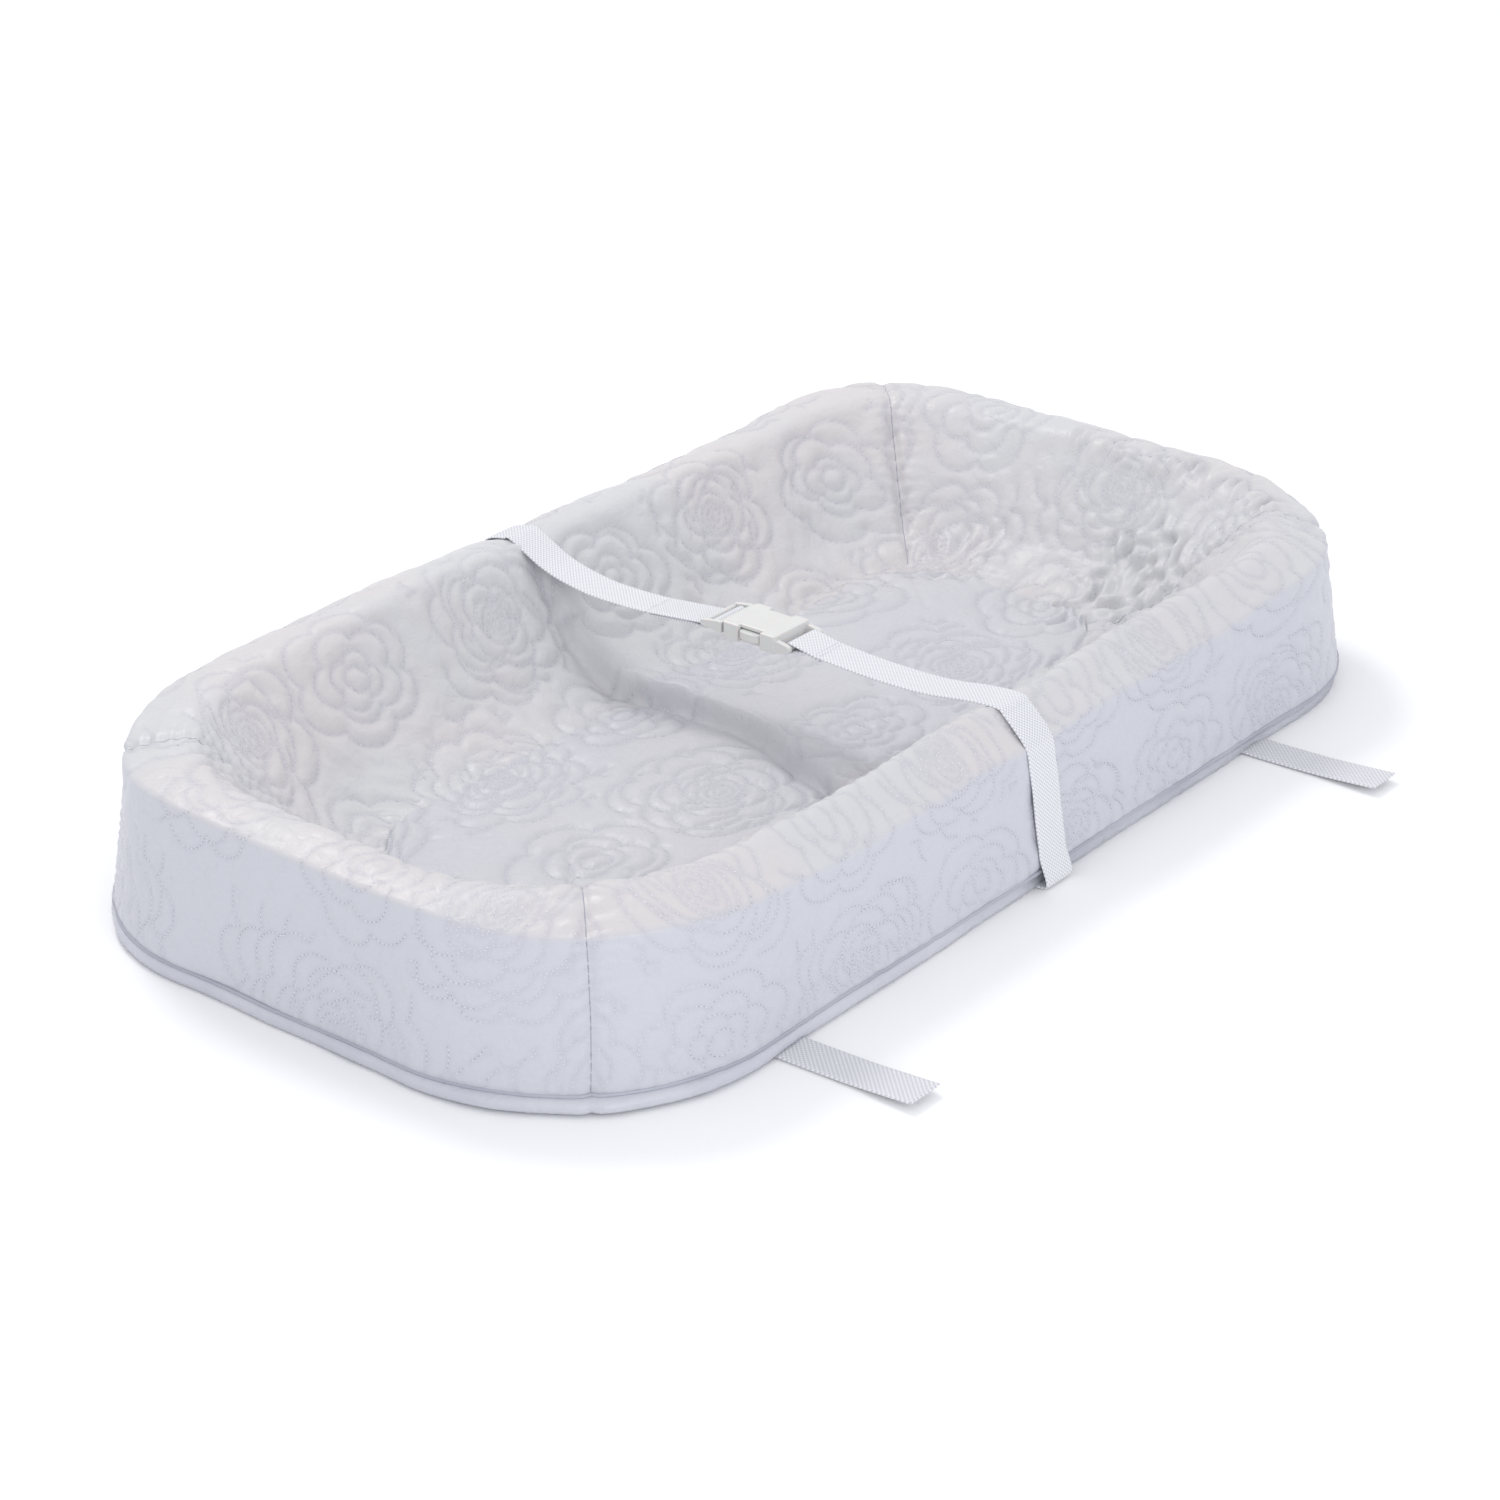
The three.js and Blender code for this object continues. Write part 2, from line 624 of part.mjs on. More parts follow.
// Buckle insert: a ladder-lock frame with a shoulder plate and a guide tongue
function insert() {
  const side = BUCKLE_HALF_WIDTH - 0.4;
  const frameEnd = insertHinge.y + BAR_RADIUS;
  const low = -INSERT_HALF_HEIGHT;
  const high = INSERT_HALF_HEIGHT;
  const rail = new THREE.Shape();
  rail.moveTo(SHOULDER_Y, low);
  rail.lineTo(insertHinge.y, low + 0.9);
  rail.absarc(insertHinge.y, 0, high - 0.9, -Math.PI / 2, Math.PI / 2, false);
  rail.lineTo(PLATE_BACK + 1, high + 0.8);
  rail.lineTo(SHOULDER_Y, high + 0.8);
  const rails = [-1, 1].map((sign) => extrudeAcross(
    rail,
    Math.min(sign * RAIL_INNER, sign * side),
    Math.max(sign * RAIL_INNER, sign * side),
  ));
  const plate = block([-side + 1, SHOULDER_Y, low], [side - 1, PLATE_BACK, high + 0.8]);
  const outerBar = barAcross(frameEnd - BAR_RADIUS, 0, BAR_RADIUS, RAIL_INNER + 1);
  const middleBar = block(
    [-RAIL_INNER - 1, MIDDLE_BAR.front, -MIDDLE_BAR.halfHeight],
    [RAIL_INNER + 1, MIDDLE_BAR.back, MIDDLE_BAR.halfHeight],
  );
  const tongueShape = new THREE.Shape([
    [TONGUE_HALF_WIDTH, SHOULDER_Y + 1],
    [-TONGUE_HALF_WIDTH, SHOULDER_Y + 1],
    [-TONGUE_HALF_WIDTH, TONGUE_TIP + 2],
    [-1, TONGUE_TIP],
    [1, TONGUE_TIP],
    [TONGUE_HALF_WIDTH, TONGUE_TIP + 2],
  ].map(([x, y]) => new THREE.Vector2(x, y)));
  const tongue = extrudeUp(tongueShape, -ARM_HALF_HEIGHT, ARM_HALF_HEIGHT, 0);
  return union(plate, ...rails, outerBar, middleBar, tongue);
}

// A squeeze arm: a springy leaf that widens into the side button, with a shoulder behind
// the window's front edge. Its root stands just off the insert's shoulder plate.
function latchArm(sign) {
  const shape = new THREE.Shape();
  shape.moveTo(8.8 * sign, 13.5);
  shape.lineTo(11 * sign, 13.5);
  shape.lineTo(11 * sign, 3.2);
  shape.lineTo(11.8 * sign, 1.2);
  shape.lineTo(15.6 * sign, 0.9);
  shape.quadraticCurveTo(17.6 * sign, -2, 17.3 * sign, -6.5);
  shape.quadraticCurveTo(17.2 * sign, -11.4, 15.4 * sign, -13);
  shape.lineTo(12.6 * sign, -14.8);
  shape.lineTo(10.8 * sign, -20.5);
  shape.lineTo(9 * sign, -20.5);
  return extrudeUp(shape, -ARM_HALF_HEIGHT, ARM_HALF_HEIGHT, 0.3);
}

addPart('buckle_housing', housing(), plastic, [0, 0, BUCKLE_Z]);
addPart('buckle_insert', insert(), plastic, [0, 0, BUCKLE_Z]);
addPart('latch_arm_left', latchArm(-1), plastic, [0, 0, BUCKLE_Z]);
addPart('latch_arm_right', latchArm(1), plastic, [0, 0, BUCKLE_Z]);

// Mounting tabs: a root sewn under the hem and a free flap of webbing
for (const [side, centreX] of Object.entries(TAB_CENTRES)) {
  const sewn = WEB_FLOOR + WEB_THICKNESS / 2;
  const root = smoothLine([[TAB_ROOT_Y, sewn], [TAB_HINGE_Y + HINGE_GAP, sewn]], 2);
  const flap = smoothLine([
    [TAB_HINGE_Y - HINGE_GAP, sewn],
    [TAB_HINGE_Y - TAB_REACH * 0.3, sewn + 0.2],
    [TAB_HINGE_Y - TAB_REACH * 0.65, sewn + TAB_TIP_RISE * 0.3],
    [TAB_HINGE_Y - TAB_REACH, sewn + TAB_TIP_RISE],
  ], 12);
  const stitch = block([-10, -1, 0], [10, 1, THREAD_THICKNESS]);
  addPart(`tab_root_${side}`, strip(root, centreX), webbing);
  addPart(`tab_flap_${side}`, strip(flap, centreX), webbing);
  addPart(`tab_stitch_${side}`, stitch, thread, [centreX, TAB_HINGE_Y + 10, THREAD_Z]);
}

export default parts;
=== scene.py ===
import json
import math

import bpy
import numpy as np
from mathutils import Matrix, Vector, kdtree


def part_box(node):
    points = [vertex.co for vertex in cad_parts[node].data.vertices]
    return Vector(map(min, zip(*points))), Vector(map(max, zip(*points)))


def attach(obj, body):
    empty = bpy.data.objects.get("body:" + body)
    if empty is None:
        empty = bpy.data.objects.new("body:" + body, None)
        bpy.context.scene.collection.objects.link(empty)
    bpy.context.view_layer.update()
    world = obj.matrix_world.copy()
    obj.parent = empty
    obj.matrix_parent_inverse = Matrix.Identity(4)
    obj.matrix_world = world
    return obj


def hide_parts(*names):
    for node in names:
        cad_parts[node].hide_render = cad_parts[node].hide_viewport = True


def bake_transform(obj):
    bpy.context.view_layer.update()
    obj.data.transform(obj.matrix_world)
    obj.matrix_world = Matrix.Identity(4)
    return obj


MM = 0.001
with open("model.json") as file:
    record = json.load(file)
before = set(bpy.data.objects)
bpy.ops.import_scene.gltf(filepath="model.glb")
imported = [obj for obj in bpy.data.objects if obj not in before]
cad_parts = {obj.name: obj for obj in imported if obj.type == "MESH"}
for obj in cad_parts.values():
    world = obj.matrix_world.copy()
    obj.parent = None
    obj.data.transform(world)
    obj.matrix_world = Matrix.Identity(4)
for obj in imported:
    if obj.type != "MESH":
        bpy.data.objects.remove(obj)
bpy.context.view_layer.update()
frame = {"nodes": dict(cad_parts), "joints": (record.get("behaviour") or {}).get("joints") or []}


def box_mm(node):
    low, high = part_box(node)
    return np.array(low) / MM, np.array(high) / MM


# ---------------------------------------------------------------- sizes, taken from the frame
HALF_LENGTH, HALF_WIDTH, HEM_HEIGHT = box_mm("hem_binding")[1]
CREST_HEIGHT = box_mm("quilted_cover")[1][2]
PANEL_TOP = box_mm("bottom_panel")[1][2]
FLOOR_HEIGHT = 32.0
FLOOR_INSET = 127.8
CREST_INSET = 26.0
CREASE_INSET = 13.5
SLOPE_FOOT_INSET = 99.75
PLAN_INSETS = [0.0, CREST_INSET, FLOOR_INSET]
HEM_RADIUS, FLOOR_RADIUS = 127.0, 60.0
PLAN_RADII = [HEM_RADIUS, 132.0, FLOOR_RADIUS]
HEM_INSET = 2.6
HEM_CENTRES = np.array([261.0, 85.0])  # middles of the corners' rounding at the hem
HEM_OUT = 243.0  # from the valley floor's edge out to the hem, along the section

# Cover grid: columns along a long side and along an end, and rows for the slope, rim and wall
ROW_CROWDING = 1.35  # rows crowd towards the crease between the rim and the wall
FINE = {"long": 300, "end": 144, "rows": (66, 18, 36)}
COARSE = {"long": 118, "end": 56, "rows": (26, 8, 15)}

STITCH_PITCH = 3.0
SEAM_PITCH = 2.4
SEAM_HALF = 10.5  # half the length of a row of stitches across the webbing
QUILT_DEPTH = 2.6
QUILT_REACH = 3.6


# ---------------------------------------------------------------- small numeric helpers
def smooth(value, low, high):
    t = np.clip((np.asarray(value, float) - low) / (high - low), 0.0, 1.0)
    return t * t * (3.0 - 2.0 * t)


def bell(value, width):
    return np.exp(-((np.asarray(value, float) / width) ** 2))


def ripples(points, wavelength, seed, count=14):
    """A smooth, seeded wobble of unit size over 3-D points, with about this wavelength."""
    rng = np.random.default_rng(seed)
    directions = rng.normal(size=(count, 3))
    directions /= np.linalg.norm(directions, axis=1)[:, None]
    scale = 2.0 * math.pi / (wavelength * rng.uniform(0.7, 1.5, count))
    phase = rng.uniform(0.0, 2.0 * math.pi, count)
    return np.sin(points @ (directions * scale[:, None]).T + phase).sum(axis=-1) / math.sqrt(count)


def unit(vectors):
    return vectors / np.maximum(np.linalg.norm(vectors, axis=-1, keepdims=True), 1e-9)


def arc_lengths(path):
    return np.concatenate([[0.0], np.cumsum(np.linalg.norm(np.diff(path, axis=0), axis=1))])


def resample(path, step):
    """The path's points again, evenly spaced at about this step."""
    path = np.asarray(path, float)
    arc = arc_lengths(path)
    stops = np.linspace(0.0, arc[-1], max(2, int(round(arc[-1] / step)) + 1))
    return np.column_stack([np.interp(stops, arc, path[:, k]) for k in range(path.shape[1])])


def smooth_path(points, step):
    """A Catmull-Rom curve through the points, evenly resampled."""
    points = np.asarray(points, float)
    padded = np.vstack([2 * points[0] - points[1], points, 2 * points[-1] - points[-2]])
    t = np.linspace(0.0, 1.0, 24, endpoint=False)[:, None]
    pieces = []
    for a, b, c, d in zip(padded[:-3], padded[1:-2], padded[2:-1], padded[3:]):
        pieces.append(
            0.5
            * (
                2 * b + (c - a) * t + (2 * a - 5 * b + 4 * c - d) * t**2 + (3 * b - a - 3 * c + d) * t**3
            )
        )
    return resample(np.vstack([*pieces, points[-1:]]), step)


def rounded_path(corners):
    """A dense line through (inset, height, radius) corners, each rounded to its radius."""
    points = [np.array(corners[0][:2], float)]
    for before, corner, after in zip(corners[:-2], corners[1:-1], corners[2:]):
        here = np.array(corner[:2], float)
        inward = unit(np.array(before[:2], float) - here)
        outward = unit(np.array(after[:2], float) - here)
        half_angle = math.acos(float(np.clip(inward @ outward, -1.0, 1.0))) / 2.0
        centre = here + unit(inward + outward) * corner[2] / math.sin(half_angle)
        reach = corner[2] / math.tan(half_angle)
        first = here + inward * reach - centre
        last = here + outward * reach - centre
        for share in np.linspace(0.0, 1.0, 25):
            points.append(centre + unit(first * (1.0 - share) + last * share) * corner[2])
    points.append(np.array(corners[-1][:2], float))
    return resample(np.array(points), 0.25)


def make_object(name, points, faces, material=None):
    """A smooth-shaded mesh object from points in millimetres."""
    mesh = bpy.data.meshes.new(name)
    mesh.from_pydata((np.asarray(points, float) * MM).tolist(), [], faces)
    if material:
        mesh.materials.append(material)
    mesh.polygons.foreach_set("use_smooth", np.full(len(mesh.polygons), True))
    mesh.update()
    thing = bpy.data.objects.new(name, mesh)
    bpy.context.scene.collection.objects.link(thing)
    return thing


def add_attribute(thing, name, values):
    layer = thing.data.attributes.new(name, "FLOAT", "POINT")
    layer.data.foreach_set("value", np.asarray(values, np.float32))


# ---------------------------------------------------------------- materials
class Shading:
    """A new node material, with short ways to add nodes to it."""

    def __init__(self, name):
        self.material = bpy.data.materials.new(name)
        self.material.use_nodes = True
        self.tree = self.material.node_tree

    def fill(self, node, values):
        """Sets inputs: numbers as they are, colours from tuples, other nodes' outputs by links."""
        for name, value in values.items():
            if isinstance(value, bpy.types.NodeSocket):
                self.tree.links.new(value, node.inputs[name])
            else:
                node.inputs[name].default_value = (*value, 1.0) if isinstance(value, tuple) else value
        return node

    def add(self, kind, values):
        return self.fill(self.tree.nodes.new(kind), values)

    def object_place(self):
        return self.add("ShaderNodeTexCoord", {}).outputs["Object"]

    def attribute(self, name):
        node = self.add("ShaderNodeAttribute", {})
        node.attribute_name = name
        return node.outputs["Fac"]

    def noise(self, place, scale, detail, distortion=0.0):
        values = {"Vector": place, "Scale": scale, "Detail": detail, "Distortion": distortion}
        return self.add("ShaderNodeTexNoise", values).outputs["Fac"]

    def bump(self, height, strength, distance, **more):
        values = {"Height": height, "Strength": strength, "Distance": distance, **more}
        return self.add("ShaderNodeBump", values).outputs["Normal"]

    def mix(self, factor, first, second):
        node = self.add("ShaderNodeMix", {})
        node.data_type = "RGBA"
        return self.fill(node, {"Factor": factor, "A": first, "B": second}).outputs["Result"]

    def spread(self, value, low, high, to_low, to_high):
        values = {"Value": value, "From Min": low, "From Max": high, "To Min": to_low, "To Max": to_high}
        return self.add("ShaderNodeMapRange", values).outputs["Result"]

    def finish(self, values):
        """Fills the shader's inputs and returns the material."""
        self.fill(self.tree.nodes["Principled BSDF"], values)
        return self.material


def vinyl_material(name, light, shade, groove_shade=None):
    """Thin satin vinyl: slow colour drift, crinkles and a fine grain. With a groove shade colour it
    also has painted shade: a darker, bluer outer wall and darker quilting lines."""
    made = Shading(name)
    place = made.object_place()
    patchy = made.spread(made.noise(place, 9.0, 3.0), 0.42, 0.58, 0.0, 1.0)
    colour = made.mix(patchy, light, shade)
    if groove_shade:
        # Painted shade: the outer wall, from the crease down, painted darker and bluer than the lit rim
        # and valley.
        colour = made.mix(made.attribute("wall_shade"), colour, WALL_SHADE_COLOUR)
        # Painted shade along the quilting lines: the vinyl darkened towards the groove shade colour.
        depth = made.spread(made.attribute("groove_shade"), 0.0, 1.0, 0.0, 0.5)
        colour = made.mix(depth, colour, groove_shade)
    crinkle = made.noise(place, 120.0, 4.0, 0.8)
    wide = made.bump(crinkle, 0.6, 0.0016)
    fine = made.bump(made.noise(place, 1500.0, 2.0), 0.2, 0.00015, Normal=wide)
    rough = made.spread(crinkle, 0.3, 0.7, 0.34, 0.48)
    looks = {"Base Color": colour, "Roughness": rough, "Normal": fine}
    return made.finish({**looks, "Specular IOR Level": 0.42, "Sheen Weight": 0.08})


def webbing_material(name, light, shade):
    """Woven polyester webbing: a basket weave read from the strap's own grid, with alternate cells in
    painted shade, and uneven yarn.
    """
    made = Shading(name)
    weave = made.add("ShaderNodeUVMap", {})
    weave.uv_map = "weave"
    grid = weave.outputs["UV"]
    weave_shade = made.add("ShaderNodeTexChecker", {"Scale": 1.0, "Vector": grid}).outputs["Fac"]
    yarn = made.noise(grid, 2.0, 3.0)
    worn = made.spread(yarn, 0.3, 0.7, 0.0, 0.35)
    # Painted shade of the weave: alternate cells darkened towards the darker colour, over the raised
    # weave in the geometry.
    colour = made.mix(worn, made.mix(weave_shade, light, shade), shade)
    looks = {"Base Color": colour, "Normal": made.bump(yarn, 0.35, 0.0002), "Roughness": 0.78}
    return made.finish({**looks, "Specular IOR Level": 0.3, "Sheen Weight": 0.25})


def thread_material(name, light, shade):
    made = Shading(name)
    twist = made.noise(made.object_place(), 2500.0, 1.0)
    colour = made.mix(twist, light, shade)
    return made.finish({"Base Color": colour, "Roughness": 0.6, "Sheen Weight": 0.2})


def plastic_material(name, light, shade):
    """Moulded acetal: satin, faintly cloudy, with a fine spark-eroded texture."""
    made = Shading(name)
    place = made.object_place()
    spark = made.noise(place, 2600.0, 2.0)
    return made.finish({
        "Base Color": made.mix(made.noise(place, 60.0, 2.0), light, shade),
        "Roughness": made.spread(spark, 0.3, 0.7, 0.3, 0.42),
        "Normal": made.bump(spark, 0.15, 0.0001),
        "Subsurface Weight": 0.15,
        "Subsurface Scale": 0.002,
        "Specular IOR Level": 0.5,
    })


# Painted shade for the outer walls: the same vinyl, darker and bluer where less light falls on it.
WALL_SHADE_COLOUR = (0.545, 0.553, 0.605)
# The third colour is the painted shade of the quilting grooves.
quilted_vinyl = vinyl_material(
    "quilted_vinyl", (0.615, 0.592, 0.598), (0.593, 0.593, 0.607), (0.46, 0.46, 0.51)
)
panel_vinyl = vinyl_material("panel_vinyl", (0.56, 0.57, 0.62), (0.52, 0.53, 0.59))
# Painted shade for the hem welt: a dark line where shade falls in the seam under the wall.
welt_shade_vinyl = vinyl_material("welt_shade_vinyl", (0.42, 0.43, 0.49), (0.36, 0.37, 0.43))
webbing = webbing_material("webbing", (0.84, 0.84, 0.86), (0.58, 0.59, 0.63))
thread = thread_material("thread", (0.84, 0.85, 0.90), (0.72, 0.73, 0.80))
needle_shadow = thread_material("needle_shadow", (0.30, 0.31, 0.38), (0.40, 0.41, 0.47))
plastic = plastic_material("buckle_plastic", (0.70, 0.70, 0.68), (0.65, 0.65, 0.635))


# ---------------------------------------------------------------- cover: sections and plan
# Corners are (distance in from the hem, height, rounding radius), from the valley floor outward
BOXY_CORNERS = [
    (FLOOR_INSET, FLOOR_HEIGHT, 0),
    (SLOPE_FOOT_INSET, FLOOR_HEIGHT, 60),
    (38.4, CREST_HEIGHT + 0.4, 13),
    (22.0, CREST_HEIGHT - 0.4, 30),
    (9.6, 101.6, 4),
    (HEM_INSET, HEM_HEIGHT, 0),
]
SLUMPED_CORNERS = [
    (FLOOR_INSET, FLOOR_HEIGHT, 0),
    (SLOPE_FOOT_INSET, FLOOR_HEIGHT, 60),
    (38.0, 107.0, 8),
    (12.5, 84.5, 3),
    (HEM_INSET, HEM_HEIGHT, 0),
]


def section_rows(corners, crest, crease, counts):
    """The section's points in rows shared out between the slope, the rim and the wall."""
    path = rounded_path(corners)
    arc = arc_lengths(path)
    marks = [0.0]
    for station in (crest, crease):
        marks.append(arc[np.argmin(np.linalg.norm(path - np.array(station), axis=1))])
    marks.append(arc[-1])
    shares = [np.linspace(0.0, 1.0, count, endpoint=False) for count in counts]
    shares[1] = 1.0 - (1.0 - shares[1]) ** ROW_CROWDING
    shares[2] = shares[2] ** ROW_CROWDING
    spans = zip(marks[:-1], marks[1:], shares)
    stops = [first + (last - first) * share for first, last, share in spans]
    stops = np.concatenate([*stops, marks[-1:]])
    rows = np.column_stack([np.interp(stops, arc, path[:, 0]), np.interp(stops, arc, path[:, 1])])
    return rows, stops


def side_plan(share, inset, half_along, half_across):
    """Where a ring's side is at a share of its length: along it, across it, and the length so far.
    The side ends half-way round each corner, where the cover's darts are."""
    radius = np.interp(inset, PLAN_INSETS, PLAN_RADII)
    straight = half_along - inset - radius
    run = share * (straight + radius * math.pi / 4.0)
    angle = np.maximum(np.abs(run) - straight, 0.0) / radius
    along = np.sign(run) * (np.minimum(np.abs(run), straight) + radius * np.sin(angle))
    across = half_across - inset - radius + radius * np.cos(angle)
    return along, across, run


SIDES = {"near": (0, -1.0), "far": (0, 1.0), "left": (1, -1.0), "right": (1, 1.0)}
FLOOR_X = HALF_LENGTH - FLOOR_INSET
FLOOR_Y = HALF_WIDTH - FLOOR_INSET
CENTRE_SHIFT = 60.8  # how far a corner's middle moves out between the floor and the hem
LONG_RUN = side_plan(1.0, FLOOR_INSET, HALF_LENGTH, HALF_WIDTH)[2]
END_RUN = side_plan(1.0, FLOOR_INSET, HALF_WIDTH, HALF_LENGTH)[2]


def slump(x, y):
    """How far the soft near side has settled, from the hem's plan position."""
    middle = 1 - smooth(np.abs(x), 150, 330)
    return 0.5 * smooth(-y, 70.0, 178.0) + 0.5 * smooth(-y, 178.0, 211.0) * middle


def end_stretch(rows_run):
    """The ends' pattern is drawn a little long at the valley floor, to meet the floor's pattern."""
    return 1.0 + (FLOOR_Y / END_RUN - 1.0) * (1.0 - np.clip(rows_run / 110.0, 0.0, 1.0))


def to_plan(name, along, across):
    """A side's own along and outward distances as x and y."""
    axis, sign = SIDES[name]
    return (along, sign * across) if axis == 0 else (sign * across, along)


def side_patch(name, counts):
    """A side of the cover as a grid: its points and its place on the flat quilting pattern."""
    axis, sign = SIDES[name]
    columns = counts["long"] if axis == 0 else counts["end"]
    half_along, half_across = (HALF_LENGTH, HALF_WIDTH) if axis == 0 else (HALF_WIDTH, HALF_LENGTH)
    share = np.linspace(-1.0, 1.0, columns + 1)[:, None]
    boxy, run_out = section_rows(BOXY_CORNERS, (28.0, CREST_HEIGHT), (10.2, 101.0), counts["rows"])
    soft, _ = section_rows(SLUMPED_CORNERS, (36.0, 103.0), (12.5, 84.5), counts["rows"])
    hem_along, hem_across, _ = side_plan(share, 0.0, half_along, half_across)
    softness = slump(*to_plan(name, hem_along, hem_across))
    inset = boxy[None, :, 0] * (1 - softness) + soft[None, :, 0] * softness
    height = boxy[None, :, 1] * (1 - softness) + soft[None, :, 1] * softness
    along, across, run = side_plan(share, inset, half_along, half_across)
    out = np.broadcast_to(run_out[None, :], run.shape)
    points = np.stack([*to_plan(name, along, across), height], axis=-1)
    flat = (run, FLOOR_Y + out) if axis == 0 else (run * end_stretch(out), LONG_RUN + out)
    pattern = np.stack(to_plan(name, *flat), axis=-1)
    return {"points": points, "pattern": pattern, "out": out, "flip": (axis == 0) == (sign < 0)}


def floor_patch(sides):
    """The valley floor, filled in between the four sides' first rows."""
    near, far, left, right = (sides[name]["points"][:, 0] for name in ("near", "far", "left", "right"))
    u = np.linspace(0.0, 1.0, len(near))[:, None, None]
    v = np.linspace(0.0, 1.0, len(left))[None, :, None]
    across = near[:, None] * (1 - v) + far[:, None] * v
    along = left[None] * (1 - u) + right[None] * u
    corners = (
        near[0] * (1 - u) * (1 - v) + near[-1] * u * (1 - v) + far[0] * (1 - u) * v + far[-1] * u * v
    )
    pattern = np.stack(
        np.broadcast_arrays((2 * u[..., 0] - 1) * LONG_RUN, (2 * v[..., 0] - 1) * FLOOR_Y), axis=-1
    )
    points = across + along - corners
    return {"points": points, "pattern": pattern, "out": np.zeros(points.shape[:2]), "flip": False}


def cover_patches(counts):
    sides = {name: side_patch(name, counts) for name in SIDES}
    return {"floor": floor_patch(sides), **sides}


def number_patches(patches):
    """Shared vertex numbers, so that the patches meet along the floor's edge and the corner darts."""
    floor = patches["floor"]["points"].shape[:2]
    numbers = {"floor": np.arange(floor[0] * floor[1]).reshape(floor)}
    total = floor[0] * floor[1]
    floor_edges = {
        "near": numbers["floor"][:, 0],
        "far": numbers["floor"][:, -1],
        "left": numbers["floor"][0, :],
        "right": numbers["floor"][-1, :],
    }
    for name, edge in floor_edges.items():
        grid = np.zeros(patches[name]["points"].shape[:2], int)
        grid[:, 0] = edge
        own = grid[:, 1:] if name in ("near", "far") else grid[1:-1, 1:]
        own[:] = np.arange(total, total + own.size).reshape(own.shape)
        total += own.size
        if name in ("left", "right"):
            corner = 0 if name == "left" else -1
            grid[0, 1:] = numbers["near"][corner, 1:]
            grid[-1, 1:] = numbers["far"][corner, 1:]
        numbers[name] = grid
    return numbers, total


def grid_normals(points, flip):
    along = np.gradient(points, axis=0)
    out = np.gradient(points, axis=1)
    normals = unit(np.cross(along, out))
    return -normals if flip else normals


def gather(numbers, total, values):
    """One value for each shared vertex: the mean of what each patch gives it."""
    extra = next(iter(values.values())).shape[2:]
    summed = np.zeros((total, *extra))
    seen = np.zeros(total)
    for name, grid in values.items():
        np.add.at(summed, numbers[name].ravel(), grid.reshape(-1, *extra))
        np.add.at(seen, numbers[name].ravel(), 1.0)
    return summed / seen[:, None]


def grid_faces(numbers, flip):
    a, b = numbers[:-1, :-1].ravel(), numbers[1:, :-1].ravel()
    c, d = numbers[1:, 1:].ravel(), numbers[:-1, 1:].ravel()
    order = (a, d, c, b) if flip else (a, b, c, d)
    return np.stack(order, axis=1).tolist()


def closed(grid):
    """Rows of vertex numbers, each closed into a ring."""
    return np.hstack([grid, grid[:, :1]])


def capped_faces(grid):
    """The faces of a tube through closed rings, with a flat cap at each end."""
    return grid_faces(grid, True) + [grid[0, :-1][::-1].tolist(), grid[-1, :-1].tolist()]


# ---------------------------------------------------------------- cover: how the soft body settles
def corner_offsets(points, out):
    """Offsets in plan from the middle of the nearest corner's rounding, and the share of the way
    from the floor out to the hem."""
    share = np.clip(out / HEM_OUT, 0.0, 1.0)
    shift = share * CENTRE_SHIFT
    x = np.abs(points[..., 0]) - (FLOOR_X - FLOOR_RADIUS + shift)
    y = np.abs(points[..., 1]) - (FLOOR_Y - FLOOR_RADIUS + shift)
    return x, y, share


def dart_distance(points, out):
    """Distance in plan from the nearest corner dart, which runs half-way round each corner."""
    x, y, share = corner_offsets(points, out)
    radius = FLOOR_RADIUS + (HEM_RADIUS - FLOOR_RADIUS) * share
    return np.where((x > 0) & (y > 0), (x - y) / math.sqrt(2.0), radius)


FOLD = np.array([
    (-2, 172), (-5, 137), (-3, 104), (3, 61), (-3, 8), (-19, -43), (-28, -78), (-36, -117), (-42, -150),
], float)


def fold_offset(points):
    """Signed distance from the fold that the belt draws across the valley, positive to the right,
    and how strong the fold is there."""
    y = points[..., 1]
    line = np.interp(y, FOLD[::-1, 1], FOLD[::-1, 0])
    reach = smooth(y, -150.0, -105.0) * (1.0 - smooth(y, 145.0, 178.0))
    return points[..., 0] - line, reach


